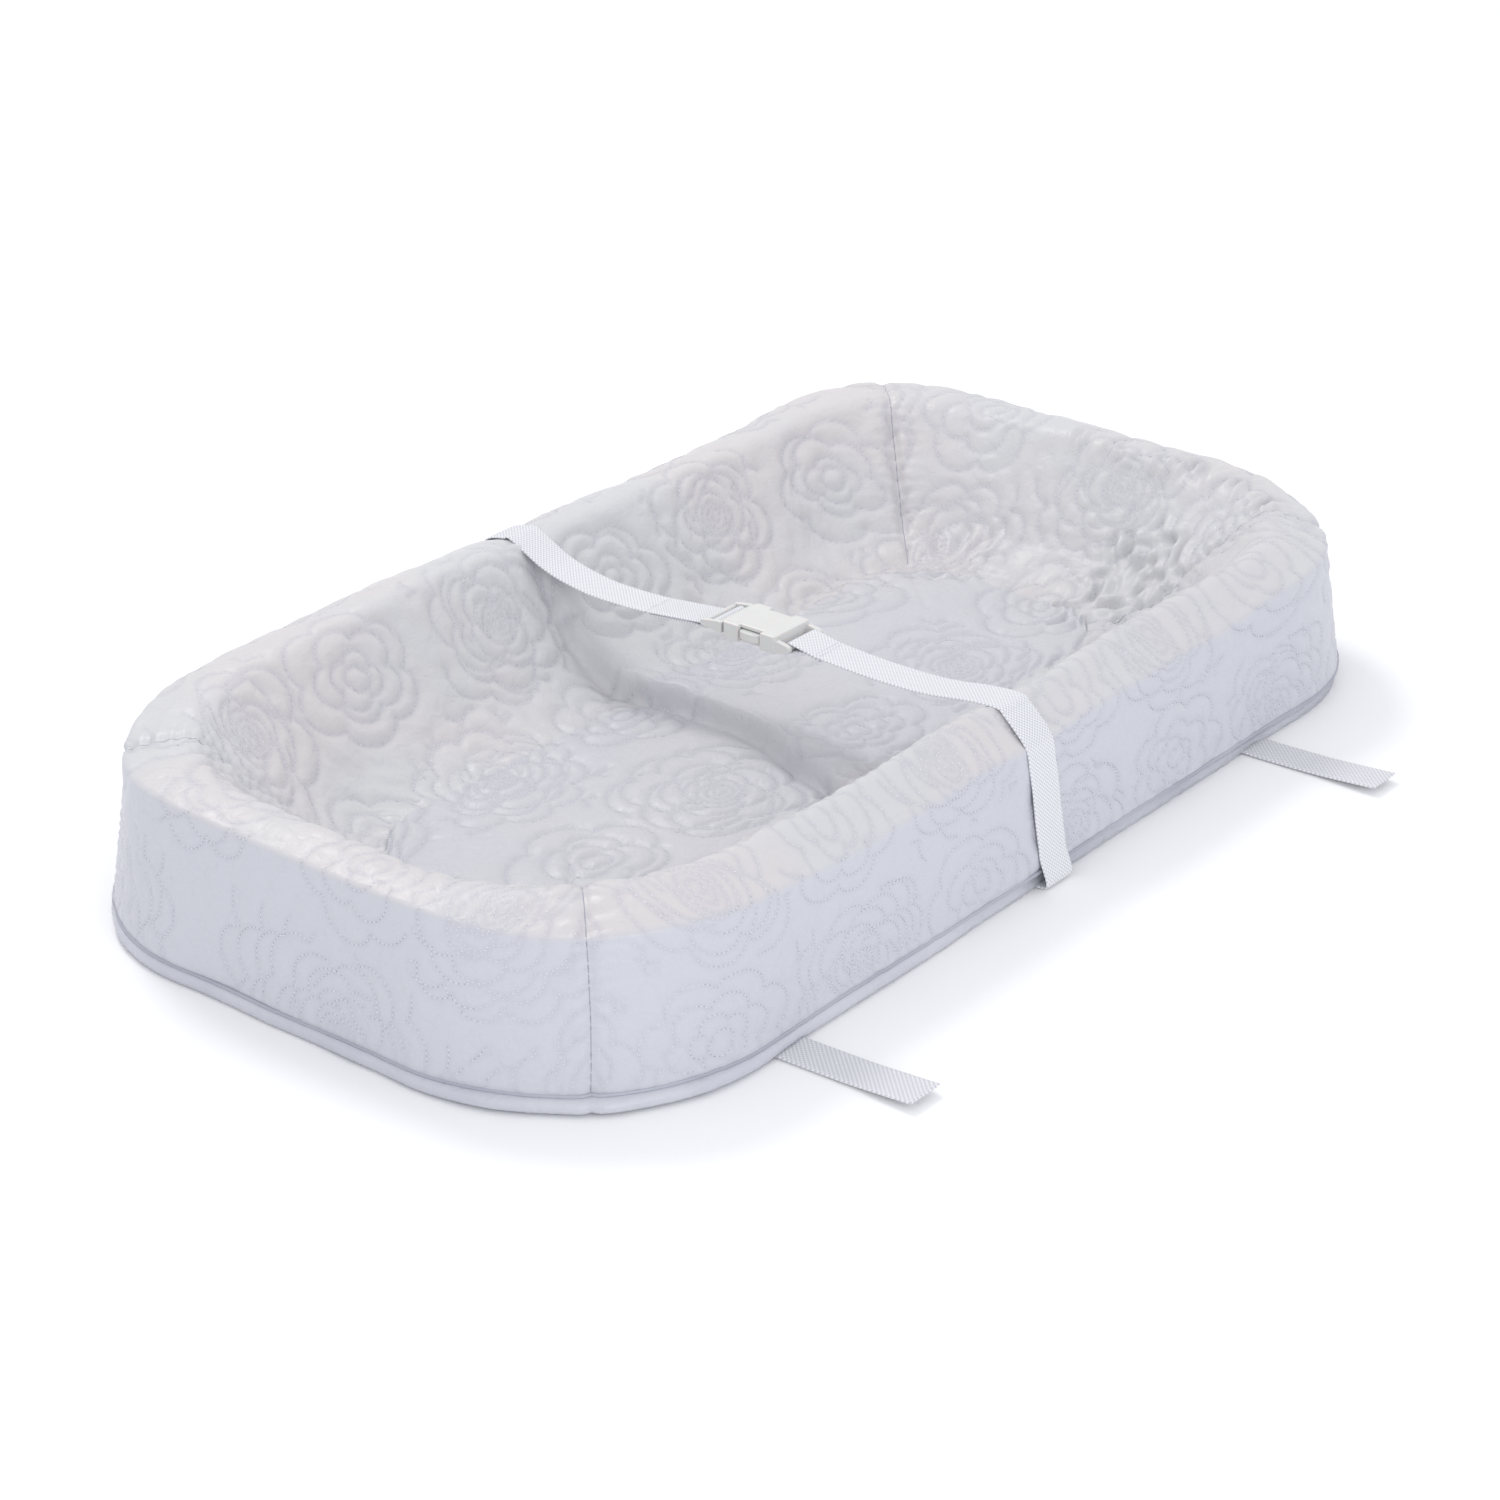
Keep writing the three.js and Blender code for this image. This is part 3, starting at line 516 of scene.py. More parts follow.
def settle(points, out):
    """Where the soft body's surface goes, as a displacement of the plain form."""
    x, y = points[..., 0], points[..., 1]
    move = np.zeros_like(points)
    inside = 1.0 - smooth(out, 108.0, 140.0)
    rim = smooth(out, 100.0, 150.0) * (1.0 - smooth(out, 165.0, 225.0))
    hem = smooth(out, 205.0, HEM_OUT)
    near = smooth(-y, 120.0, 175.0)

    # The belt draws the near rim down and in, and lifts the hem at its foot
    pull = bell(x, 34.0) * near
    move[..., 2] -= 3.0 * pull * rim
    move[..., 1] += 1.5 * pull * rim
    move[..., 2] += 4.0 * bell(x + 10.0, 13.0) * near * hem
    move[..., 2] -= 2.5 * bell(x, 30.0) * smooth(y, 120.0, 175.0) * rim

    # The fold across the valley: a soft dark gutter with a fuller bulge on its right
    offset, reach = fold_offset(points)
    width = 11.0 + 7.0 * smooth(y, -60.0, 130.0)
    over = 1.0 / (1.0 + np.exp(-np.clip(offset / 1.6, -30.0, 30.0)))
    depth = 11.0 + 4.0 * smooth(y, 70.0, 130.0)
    gutter = -depth * np.exp(-np.abs(offset) / width) * (1.0 - over)
    bulge = 6.5 * bell(offset - 6.0, 28.0) * over * (1.0 - smooth(y, 115.0, 150.0))
    move[..., 2] += (gutter + bulge) * reach * inside

    # A crease where the floor turns up into the far side, and the tall far-right corner
    foot = bell(out - 12.0, 7.0) * smooth(y, 60.0, 80.0) * smooth(x, 40.0, 90.0)
    move[..., 2] -= 2.6 * foot
    tall = smooth(x, 230.0, 320.0) * smooth(y, 60.0, 160.0) * smooth(out, 60.0, 130.0)
    move[..., 2] += 4.5 * tall * (1.0 - hem)
    tall = bell(x + 110.0, 110.0) * smooth(y, 110.0, 160.0) * smooth(out, 60.0, 130.0)
    move[..., 2] += 4.0 * tall * (1.0 - hem)

    # The right end's corners are fuller than the left end's
    corner_x, corner_y, _ = corner_offsets(points, out)
    corner_x, corner_y = np.maximum(corner_x, 0.0) * (x > 0), np.maximum(corner_y, 0.0)
    fullness = 2.0 * corner_x * corner_y / np.maximum(corner_x**2 + corner_y**2, 1.0)
    fullness = 11.0 * fullness**1.2 * smooth(out, 70.0, 150.0)
    move[..., 0] += 0.75 * fullness
    move[..., 1] += 0.65 * fullness * np.sign(y)

    # Slack of the cover and foam
    move += 1.1 * np.stack([ripples(points, 120.0, seed) for seed in (11, 12, 13)], axis=-1)
    return move


def crease_lines():
    """Wrinkles on the flat pattern as (x, y, x, y, depth, width): gathers inside the right end,
    fans at the darts and short puckers along the rims."""
    rng = np.random.default_rng(7)
    lines = []

    def fan(x, y, count, first, last, start, length, depth, width):
        for angle in np.linspace(first, last, count) + rng.uniform(-5, 5, count):
            near, far = start * rng.uniform(0.7, 1.3), start + length * rng.uniform(0.6, 1.2)
            c, s = math.cos(math.radians(angle)), math.sin(math.radians(angle))
            ends = (x + near * c, y + near * s, x + far * c, y + far * s)
            lines.append((*ends, depth * rng.uniform(0.6, 1.2), width))

    fan(262, -74, 7, -75, 150, 12, 56, 2.4, 3.0)
    fan(256, 66, 8, -150, 70, 8, 55, 1.8, 3.6)
    fan(-258, 66, 7, 110, 290, 8, 46, 1.8, 4.0)
    fan(-258, -66, 7, 70, 250, 8, 44, 1.6, 4.0)
    for x, y in ((256, -62), (272, -94), (290, -62), (304, -108), (316, -76)):
        fan(x, y, 4, 20, 300, 3, 27, 4.0, 3.1)
    for y in np.arange(-150.0, 20.0, 8.5):
        x, lean, length = 352.0 + rng.uniform(-6, 6), rng.uniform(-0.3, 0.3), rng.uniform(26, 44)
        lines.append((x, y, x + length, y + lean * length, 2.6 * rng.uniform(0.4, 1.1), 2.5))
    for _ in range(22):
        x, y = rng.uniform(-330, 330), rng.choice([-1, 1]) * rng.uniform(188, 222)
        lean, length = rng.uniform(-0.35, 0.35), rng.uniform(12, 26)
        lines.append((x, y, x + length * lean, y + length, 0.4, 3.2))
    for _ in range(40):
        x, y = rng.uniform(-340, 340), -FLOOR_Y - rng.uniform(205, 232)
        lines.append((x, y, x + rng.uniform(-6, 6), y - rng.uniform(10, 22), 0.4, 3.0))
    return lines


def creases(pattern):
    """Height of the wrinkles at each place on the flat pattern."""
    height = np.zeros(pattern.shape[:-1])
    for x0, y0, x1, y1, depth, width in crease_lines():
        start, run = np.array([x0, y0]), np.array([x1 - x0, y1 - y0])
        share = np.clip(((pattern - start) @ run) / (run @ run), 0.0, 1.0)
        away = np.linalg.norm(pattern - start - share[..., None] * run, axis=-1)
        taper = np.sin(math.pi * np.clip(share, 0.04, 0.96))
        height += depth * taper * (0.45 * bell(away - 2.0 * width, width) - bell(away, width))
    return height


def puckers(points, out):
    """Puckering along the corner darts: a sharp seam with short ridges across it."""
    away = dart_distance(points, out)
    sharp = smooth(points[..., 0], 0.0, 200.0) * smooth(points[..., 1], 0.0, 80.0)
    seam = -2.0 * bell(away, 2.6) - 3.0 * sharp * bell(away, 5.0) * (1.0 - smooth(out, 90.0, 130.0))
    phase = 2.0 * math.pi * out / 6.8 + 1.3 * ripples(points, 30.0, 5)
    ridges = 0.6 * np.sin(phase) * bell(away, 15.0)
    strength = 0.35 + 0.65 * smooth(out, 20.0, 60.0)
    return (seam + ridges) * strength


# ---------------------------------------------------------------- the quilting pattern
def around(centre, radius, angle, squeeze=1.0):
    """Points at these radii and angles round a centre, squeezed in height."""
    return centre + np.column_stack([radius * np.cos(angle), squeeze * radius * np.sin(angle)])


def closed_ring(centre, size, lobes, depth, turn, squeeze, rng):
    """A ring of scalloped petals."""
    angle = np.linspace(0.0, 2.0 * math.pi, 240)
    lobe = np.abs(np.cos(lobes * (angle - turn) / 2.0)) ** 0.55
    first, second = rng.uniform(0, 6.3), rng.uniform(0, 6.3)
    wobble = 1.0 + 0.08 * np.sin(angle + first) + 0.04 * np.sin(2 * angle + second)
    return around(centre, size * (1.0 - depth + depth * lobe) * wobble, angle, squeeze)


def rose_lines(centre, size, rng):
    """A rose of this radius: a spiral heart, rings of scalloped petals and a few petal folds."""
    centre = np.array(centre, float)
    turn = rng.uniform(0.0, 6.3)
    heart = np.linspace(0.0, 5.2 * math.pi, 130)
    spiral = size * (0.035 + 0.25 * heart / heart[-1])
    lines = [around(centre, spiral, heart + turn)]
    squeeze = rng.uniform(0.86, 1.0)
    for share, lobes, depth in ((0.36, 3, 0.24), (0.57, 4, 0.28), (0.8, 5, 0.28), (1.06, 6, 0.26)):
        ring_turn = turn + rng.uniform(0, 6.3)
        lines.append(closed_ring(centre, size * share, lobes, depth, ring_turn, squeeze, rng))
        for k in range(lobes):
            if share < 0.5 or rng.uniform() < 0.35:
                continue
            angle = ring_turn + (2 * k + 1) * math.pi / lobes + rng.uniform(-0.1, 0.1)
            reach = np.linspace(share * (1 - depth), share * (1 - depth) - 0.17, 12) * size
            bend = angle + 0.5 * np.linspace(0.0, 1.0, 12) ** 1.5
            lines.append(around(centre, reach, bend, squeeze))
    return lines


ROSE_ROWS = [
    (-311.0, 31.0, 46.0),
    (-219.0, -72.0, 50.0),
    (-127.0, 24.0, 42.0),
    (-35.0, -76.0, 52.0),
    (78.0, 72.0, 44.0),
    (171.0, -61.0, 50.0),
    (263.0, 43.0, 46.0),
    (350.0, -61.0, 46.0),
]
ROSE_SPACING = 207.0
PATTERN_REACH = (520.0, 345.0)


def clip_to_own(line, own, others, gap):
    """The parts of a line that lie nearer to their own flower than to any other."""
    mine = np.linalg.norm(line - own, axis=1)
    rest = np.linalg.norm(line[:, None] - others[None], axis=2)
    rest[:, np.linalg.norm(others - own, axis=1) < 1.0] = np.inf
    keep = mine < rest.min(axis=1) - gap
    cuts = np.flatnonzero(np.diff(keep.astype(int))) + 1
    parts = zip(np.split(line, cuts), np.split(keep, cuts))
    return [part for part, kept in parts if kept[0] and len(part) > 5]


def quilting_lines():
    """Every line of quilting on the flat pattern: staggered roses with buds between them, and wide
    scalloped petals that fill in up to the next flower."""
    rng = np.random.default_rng(21)
    roses, buds = [], []
    for y, first, size in ROSE_ROWS:
        for step in range(-3, 4):
            x = first + step * ROSE_SPACING
            if abs(x) < PATTERN_REACH[0]:
                centre = np.array([x, y]) + rng.uniform(-6.0, 6.0, 2)
                roses.append((centre, size * rng.uniform(0.8, 0.95)))
                buds.append(np.array([x + ROSE_SPACING / 2.0, y]) + rng.uniform(-9.0, 9.0, 2))
    sites = np.array([centre for centre, _ in roses] + buds)
    lines = []
    for centre, size in roses:
        lines += rose_lines(centre, size, rng)
        for share, lobes in ((1.24, 8), (1.5, 10), (1.8, 12), (2.15, 14)):
            ring = closed_ring(centre, size * share, lobes, 0.18, rng.uniform(0, 6.3), 0.95, rng)
            lines += clip_to_own(ring, centre, sites, 3.0)
    for centre in buds:
        lean, lobes = rng.uniform(0.0, 6.3), rng.integers(3, 6)
        rings = ((9.0, 2, 0.3), (19.0, lobes, 0.34), (32.0, lobes + 1, 0.3), (47.0, lobes + 2, 0.24))
        for size, lobe_count, depth in rings:
            ring = closed_ring(centre, size, lobe_count, depth, lean + size, 0.85, rng)
            lines += clip_to_own(ring, centre, sites, 2.0)
    return lines


class Quilting:
    """The quilting lines as samples to measure from and as stitch places."""

    def __init__(self):
        self.lines = quilting_lines()
        samples = np.vstack([resample(line, 1.4) for line in self.lines])
        inside = (np.abs(samples) < PATTERN_REACH).all(axis=1)
        samples = samples[inside]
        self.tree = kdtree.KDTree(len(samples))
        for index, (x, y) in enumerate(samples.tolist()):
            self.tree.insert((x, y, 0.0), index)
        self.tree.balance()

    def distance(self, pattern):
        flat = pattern.reshape(-1, 2).tolist()
        found = [self.tree.find((x, y, 0.0))[2] for x, y in flat]
        return np.array(found).reshape(pattern.shape[:-1])


quilting = Quilting()


# ---------------------------------------------------------------- cover: slack, by cloth simulation
SLACK_LIMIT = 1.6
SLACK_FRAMES = 20
CLOTH = {
    "quality": 6,
    "mass": 0.25,
    "tension_stiffness": 18.0,
    "compression_stiffness": 18.0,
    "shear_stiffness": 6.0,
    "bending_stiffness": 4.0,
    "shrink_min": -0.022,
    "use_pressure": True,
    "uniform_pressure_force": 4.0,
    "vertex_group_mass": "held",
    "pin_stiffness": 1.0,
}


def blurred(grid, passes):
    """Grid values averaged with their neighbours; the edges, which patches share, stay."""
    for _ in range(passes):
        middle = grid[1:-1, 1:-1]
        around = grid[2:, 1:-1] + grid[:-2, 1:-1] + grid[1:-1, 2:] + grid[1:-1, :-2]
        grid = grid.copy()
        grid[1:-1, 1:-1] = middle * 0.4 + around * 0.15
    return grid


def simulate_slack():
    """Lets a coarse copy of the cover, cut a little large, buckle over its foam under Blender's
    cloth. Returns how far each coarse vertex moves, capped, for every patch."""
    trial_patches = cover_patches(COARSE)
    trial_numbers, total = number_patches(trial_patches)
    placed = {
        name: patch["points"] + settle(patch["points"], patch["out"])
        for name, patch in trial_patches.items()
    }
    start = gather(trial_numbers, total, placed)
    faces = []
    for name, patch in trial_patches.items():
        faces += grid_faces(trial_numbers[name], patch["flip"])
    trial = make_object("slack_trial", start, faces)
    out_values = {name: patch["out"][..., None] for name, patch in trial_patches.items()}
    out = gather(trial_numbers, total, out_values)[:, 0]
    belt = bell(start[:, 0], 22.0) * (np.abs(start[:, 1]) > 165.0)
    grip = np.clip(0.3 + smooth(out, 200.0, HEM_OUT) + belt, 0.0, 1.0)
    held = trial.vertex_groups.new(name="held")
    for index, weight in enumerate(grip.tolist()):
        held.add([index], weight, "REPLACE")
    cloth = trial.modifiers.new("cloth", "CLOTH")
    for setting, value in CLOTH.items():
        setattr(cloth.settings, setting, value)
    cloth.settings.effector_weights.gravity = 0.0
    cloth.point_cache.frame_start = 1
    cloth.point_cache.frame_end = SLACK_FRAMES
    scene = bpy.context.scene
    for frame_number in range(1, SLACK_FRAMES + 1):
        scene.frame_set(frame_number)
    settled = trial.evaluated_get(bpy.context.evaluated_depsgraph_get())
    finish = np.zeros(total * 3, np.float32)
    settled.data.vertices.foreach_get("co", finish)
    scene.frame_set(1)
    bpy.data.objects.remove(trial)
    moves = finish.reshape(-1, 3) / MM - start
    length = np.linalg.norm(moves, axis=1, keepdims=True)
    moves *= SLACK_LIMIT * np.tanh(length / SLACK_LIMIT) / np.maximum(length, 1e-6)
    passes = {name: 6 if name == "floor" else 1 for name in trial_patches}
    return {name: blurred(moves[trial_numbers[name]], passes[name]) for name in trial_patches}


def sample(grid, column, row):
    """Grid values at fractional places."""
    i = np.clip(column.astype(int), 0, grid.shape[0] - 2)
    j = np.clip(row.astype(int), 0, grid.shape[1] - 2)
    u, v = (column - i)[..., None], (row - j)[..., None]
    lower = grid[i, j] * (1 - u) + grid[i + 1, j] * u
    upper = grid[i, j + 1] * (1 - u) + grid[i + 1, j + 1] * u
    return lower * (1 - v) + upper * v


def refine(coarse, columns, rows):
    """Grid values resampled to more columns and rows."""
    column = np.linspace(0.0, coarse.shape[0] - 1.0, columns)
    row = np.linspace(0.0, coarse.shape[1] - 1.0, rows)
    return sample(coarse, *np.meshgrid(column, row, indexing="ij"))


# ---------------------------------------------------------------- cover: the finished surface
def shape_patches(patches, numbers, total, slack):
    """Moves the patches' points to the settled, quilted surface and returns the shared vertices."""
    moves, groove_shades, wall_shades = {}, {}, {}
    for name, patch in patches.items():
        points, out, pattern = patch["points"], patch["out"], patch["pattern"]
        x = points[..., 0]
        normals = grid_normals(points, patch["flip"])
        away = quilting.distance(pattern)
        # The quilting is shallower on the wall, on the rim's crest and inside the right end
        puffy = smooth(x, -160.0, 60.0)
        depth = QUILT_DEPTH * (1.0 - (0.72 - 0.4 * puffy) * smooth(out, 140.0, 156.0))
        plain_rim = 0.85 - 0.4 * smooth(x, -40.0, 60.0)
        depth = depth * (1.0 - plain_rim * bell(out - 138.0, 17.0))
        right_end = smooth(x, 230.0, 290.0) * (1.0 - smooth(out, 110.0, 130.0))
        depth = depth * (1.0 - 0.35 * right_end)
        puff = depth * (1.0 - np.exp(-((away / QUILT_REACH) ** 1.1)))
        edge = 1.0 - smooth(out, 232.0, HEM_OUT)
        relief = (puff - depth * 0.6) * edge
        relief = relief + 0.16 * ripples(points, 16.0, 31, 20) * edge
        relief = relief + creases(pattern) + puckers(points, out)
        moves[name] = settle(points, out) + normals * relief[..., None]
        if slack:
            share = 1.0 - 0.8 * smooth(out, 100.0, 126.0)[..., None]
            moves[name] = moves[name] + refine(slack[name], *points.shape[:2]) * share
        # Mask along the quilting lines, which carries their painted shade.
        groove_shades[name] = np.exp(-((away / 1.5) ** 2))[..., None]
        # Mask of the outer wall below the crease, which carries the wall's painted shade.
        crease = out[0, sum(FINE["rows"][:2])]
        wall_shades[name] = smooth(out, crease - 3.0, crease + 3.0)[..., None]
    plain = {name: patch["points"] for name, patch in patches.items()}
    shared = gather(numbers, total, plain) + gather(numbers, total, moves)
    groove_shade = gather(numbers, total, groove_shades)[:, 0]
    wall_shade = gather(numbers, total, wall_shades)[:, 0]
    return shared, groove_shade, wall_shade


def hem_loop(numbers):
    """The cover's lowest ring of vertices, once round."""
    forward = [numbers[name][:-1, -1] for name in ("near", "right")]
    backward = [numbers[name][:0:-1, -1] for name in ("far", "left")]
    return np.concatenate(forward + backward)


def close_under(shared, loop, faces):
    """Turns the cover in under the hem and closes it over the bottom panel."""
    steps = ((2.5, HEM_HEIGHT - 3.0), (6.0, PANEL_TOP + 1.0), (12.0, PANEL_TOP + 0.6))
    points = [shared]
    for inward, height in steps:
        ring = shared[loop]
        ring[:, :2] -= unit(ring[:, :2]) * inward
        ring[:, 2] = height
        points.append(ring)
    fresh = len(shared) + np.arange(len(steps) * len(loop)).reshape(len(steps), -1)
    grid = closed(np.vstack([loop, fresh]))
    faces += grid_faces(grid, False) + [fresh[-1][::-1].tolist()]
    return np.vstack(points)


patches = cover_patches(FINE)
numbers, vertex_count = number_patches(patches)
slack = simulate_slack()
shared, groove_shade, wall_shade = shape_patches(patches, numbers, vertex_count, slack)
for name, patch in patches.items():
    patch["final"] = shared[numbers[name]]
    patch["normals"] = grid_normals(patch["final"], patch["flip"])

cover_faces = []
for name, patch in patches.items():
    cover_faces += grid_faces(numbers[name], patch["flip"])
loop = hem_loop(numbers)
cover_points = close_under(shared, loop, cover_faces)
extra = len(cover_points) - vertex_count
cover = make_object("quilted_cover_body", cover_points, cover_faces, quilted_vinyl)
add_attribute(cover, "groove_shade", np.concatenate([groove_shade, np.zeros(extra)]))
add_attribute(cover, "wall_shade", np.concatenate([wall_shade, np.ones(extra)]))
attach(cover, "pad")
foam_nodes = ["foam_base", "foam_side_near", "foam_side_far", "foam_end_left", "foam_end_right"]
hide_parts("quilted_cover", *foam_nodes)


# ---------------------------------------------------------------- quilting stitches
def on_cover(name, column, row):
    """The finished surface's points and normals at fractional grid places of one patch."""
    points, normals = (sample(patches[name][grid], column, row) for grid in ("final", "normals"))
    return points, unit(normals)


def pattern_to_cover(line):
    """Places on the cover of points on the flat pattern, as runs that stay on one patch."""
    x, y = line[:, 0], line[:, 1]
    runs = []
    floor = (np.abs(x) <= LONG_RUN) & (np.abs(y) <= FLOOR_Y)
    columns, rows = patches["floor"]["final"].shape[:2]
    runs.append(
        ("floor", floor, (x / LONG_RUN + 1) / 2 * (columns - 1), (y / FLOOR_Y + 1) / 2 * (rows - 1))
    )
    for name, (axis, sign) in SIDES.items():
        patch = patches[name]
        columns, rows = patch["final"].shape[:2]
        across = sign * (y if axis == 0 else x) - (FLOOR_Y if axis == 0 else LONG_RUN)
        out = patch["out"][0]
        row = np.interp(across, out, np.arange(rows))
        run = x if axis == 0 else y / end_stretch(across)
        middle = patch["pattern"][..., 0] if axis == 0 else patch["pattern"][..., 1]
        widest = np.interp(across, out, middle[-1] / (1.0 if axis == 0 else end_stretch(out)))
        share = run / widest
        valid = (across > 0) & (across < out[-1] - 4.0) & (np.abs(share) < 0.995)
        runs.append((name, valid, (share + 1) / 2 * (columns - 1), row))
    return runs


def stitch_places(lines, pitch):
    """Middle, direction and normal of each stitch along these pattern lines."""
    middles, directions, normals = [], [], []
    for line in lines:
        even = resample(line, pitch)
        for name, valid, column, row in pattern_to_cover(even):
            both = valid[:-1] & valid[1:]
            if not both.any():
                continue
            first, n1 = on_cover(name, column[:-1][both], row[:-1][both])
            second, n2 = on_cover(name, column[1:][both], row[1:][both])
            middles.append((first + second) / 2)
            directions.append(second - first)
            normals.append(unit(n1 + n2))
    return np.vstack(middles), np.vstack(directions), np.vstack(normals)


def dashes(name, middles, directions, normals, size, material):
    """Short rounded stitches: six-cornered beads of (length share, width, height)."""
    share, width, height = size
    half = directions * share / 2
    side = unit(np.cross(normals, directions)) * width / 2
    up = normals * height
    corners = np.stack([middles + step for step in (-half, half, -side, side, up, -up)], axis=1)
    bead = np.array(
        [(0, 2, 4), (2, 1, 4), (1, 3, 4), (3, 0, 4), (2, 0, 5), (1, 2, 5), (3, 1, 5), (0, 3, 5)]
    )
    faces = (np.arange(len(middles))[:, None, None] * 6 + bead[None]).reshape(-1, 3)
    return make_object(name, corners.reshape(-1, 3), faces.tolist(), material)


middles, directions, normals = stitch_places(quilting.lines, STITCH_PITCH)
stitches = dashes("quilting_thread", middles, directions, normals, (0.62, 0.55, 0.22), thread)
# Painted shade in the needle holes on the walls: dark dashes at the stitch ends, in the needle shadow
# material.
past_x = np.abs(middles[:, 0]) > HALF_LENGTH - CREASE_INSET
past_y = np.abs(middles[:, 1]) > HALF_WIDTH - CREASE_INSET
wall_hole_shadows = [grid[past_x | past_y] for grid in (middles + directions / 2, directions, normals)]
holes = dashes("quilting_needle_hole_shadows", *wall_hole_shadows, (0.28, 0.75, 0.1), needle_shadow)
for piece in (stitches, holes):
    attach(piece, "pad")


def stitch_rows(name, rows, body="pad", facing=-1.0):
    """Sewn rows along 3-D lines, facing down or up, that stand in for the CAD stitch of that name."""
    even_rows = [resample(row, SEAM_PITCH) for row in rows]
    middles = np.vstack([(row[:-1] + row[1:]) / 2 for row in even_rows])
    directions = np.vstack([np.diff(row, axis=0) for row in even_rows])
    normals = np.broadcast_to(np.array([0.0, 0.0, facing]), middles.shape)
    thing = dashes(name, middles, directions, normals, (0.72, 0.6, 0.25), thread)
    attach(thing, body)
    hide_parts(name.replace("_seam", "_stitch"))


def tube(points, radius, sides=6):
    """Vertices and faces of a closed thin tube along a line."""
    ahead = unit(np.gradient(points, axis=0))
    level = unit(np.cross(ahead, [0.31, 0.17, 0.93]))
    other = np.cross(ahead, level)
    angles = np.linspace(0.0, 2.0 * math.pi, sides, endpoint=False)
    rings = (
        points[:, None] + level[:, None] * (radius * np.cos(angles))[None, :, None]
        + other[:, None] * (radius * np.sin(angles))[None, :, None]
    )
    grid = np.arange(len(points) * sides).reshape(len(points), sides)
    return rings.reshape(-1, 3), capped_faces(closed(grid))


seam_points, seam_faces = [], []
for name in ("near", "far"):
    for column in (0, -1):
        patch = patches[name]
        shown = patch["out"][0] > 14.0
        line = patch["final"][column][shown] - 0.1 * patch["normals"][column][shown]
        points, faces = tube(resample(line, 2.0), 0.38)
        base = sum(len(p) for p in seam_points)
        seam_points.append(points)
        seam_faces += [[index + base for index in face] for face in faces]
dart_seams = make_object("corner_dart_seams", np.vstack(seam_points), seam_faces, needle_shadow)
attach(dart_seams, "pad")


# ---------------------------------------------------------------- hem: bottom panel and welt
BELT_X = 0.0
TAB_X = [float(sum(corner[0] for corner in box_mm(f"tab_flap_{side}")) / 2) for side in ("left", "right")]
hem_ring = shared[loop]
hem_away = hem_ring[:, :2] - np.clip(hem_ring[:, :2], -HEM_CENTRES, HEM_CENTRES)
hem_out = unit(np.column_stack([hem_away, np.zeros(len(loop))]))


def strap_gap(points):
    """1 where a strap or tab passes under the hem, 0 away from them."""
    x, y = points[:, 0], points[:, 1]
    lift = bell(x - BELT_X, 15.0)
    for tab_x in TAB_X:
        lift = lift + bell(x - tab_x, 15.0) * (y < 0)
    return np.clip(lift * (np.abs(y) > 190), 0.0, 1.0)


def lathe_hem(name, profile, swell, material, caps):
    """A band round the hem through (distance out, height) profile points. It ends in flat caps, or
    its last point joins its first."""
    gap = strap_gap(hem_ring)
    rings = []
    for outward, height in profile:
        bulge = swell * math.sin(math.pi * min(1.0, max(0.0, height / HEM_HEIGHT)))
        ring = hem_ring.copy()
        ring[:, 2] = height
        ring += hem_out * (outward + bulge)[:, None]
        ring[:, 2] += gap * 1.9 * (1.0 - smooth(height, 0.0, 6.0))
        rings.append(ring)
    grid = closed(np.arange(len(profile) * len(loop)).reshape(len(profile), len(loop)))
    faces = capped_faces(grid) if caps else grid_faces(np.vstack([grid, grid[:1]]), True)
    return make_object(name, np.vstack(rings), faces, material)


def panel_bulge(ring):
    """How far the bottom panel swells out below the seam: most at the near-left and far-right
    corners, and tucked in along the right of the near side."""
    diagonal = ring[:, 0] + ring[:, 1]
    corner = smooth(-diagonal, 380.0, 520.0) + smooth(diagonal, 380.0, 520.0)
    tucked = 7.5 * smooth(ring[:, 0], -160.0, 40.0) * smooth(-ring[:, 1], 150.0, 200.0)
    return -0.8 + 3.6 * corner - tucked + 0.7 * ripples(ring, 60.0, 51)


PANEL_PROFILE = [
    (-30.0, 2.1), (-14.0, 2.0), (-7.0, 0.7), (-3.0, 0.3), (0.6, 0.9), (2.2, 3.2), (2.2, 6.0),
    (1.2, 8.6), (-0.6, 9.6), (-4.0, 9.4), (-12.0, 5.0),
]
panel = lathe_hem("bottom_panel_skin", PANEL_PROFILE, panel_bulge(hem_ring), panel_vinyl, True)
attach(panel, "pad")
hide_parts("bottom_panel")


def tube_profile(outward, height, radius, count=8):
    angles = np.linspace(0.0, 2.0 * math.pi, count, endpoint=False)
    return [(outward + radius * math.cos(a), height + radius * math.sin(a)) for a in angles]


# The welt is coloured dark as painted shade in the hem seam.
welt_profile = tube_profile(-0.4, HEM_HEIGHT - 0.6, 1.2)
welt = lathe_hem("hem_welt", welt_profile, np.zeros(len(loop)), welt_shade_vinyl, False)
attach(welt, "pad")
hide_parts("hem_binding")


# ---------------------------------------------------------------- webbing
WEB_WIDTH = 25.0
WEB_THICKNESS = 1.3
SEWN_Z = WEB_THICKNESS / 2 + 0.6


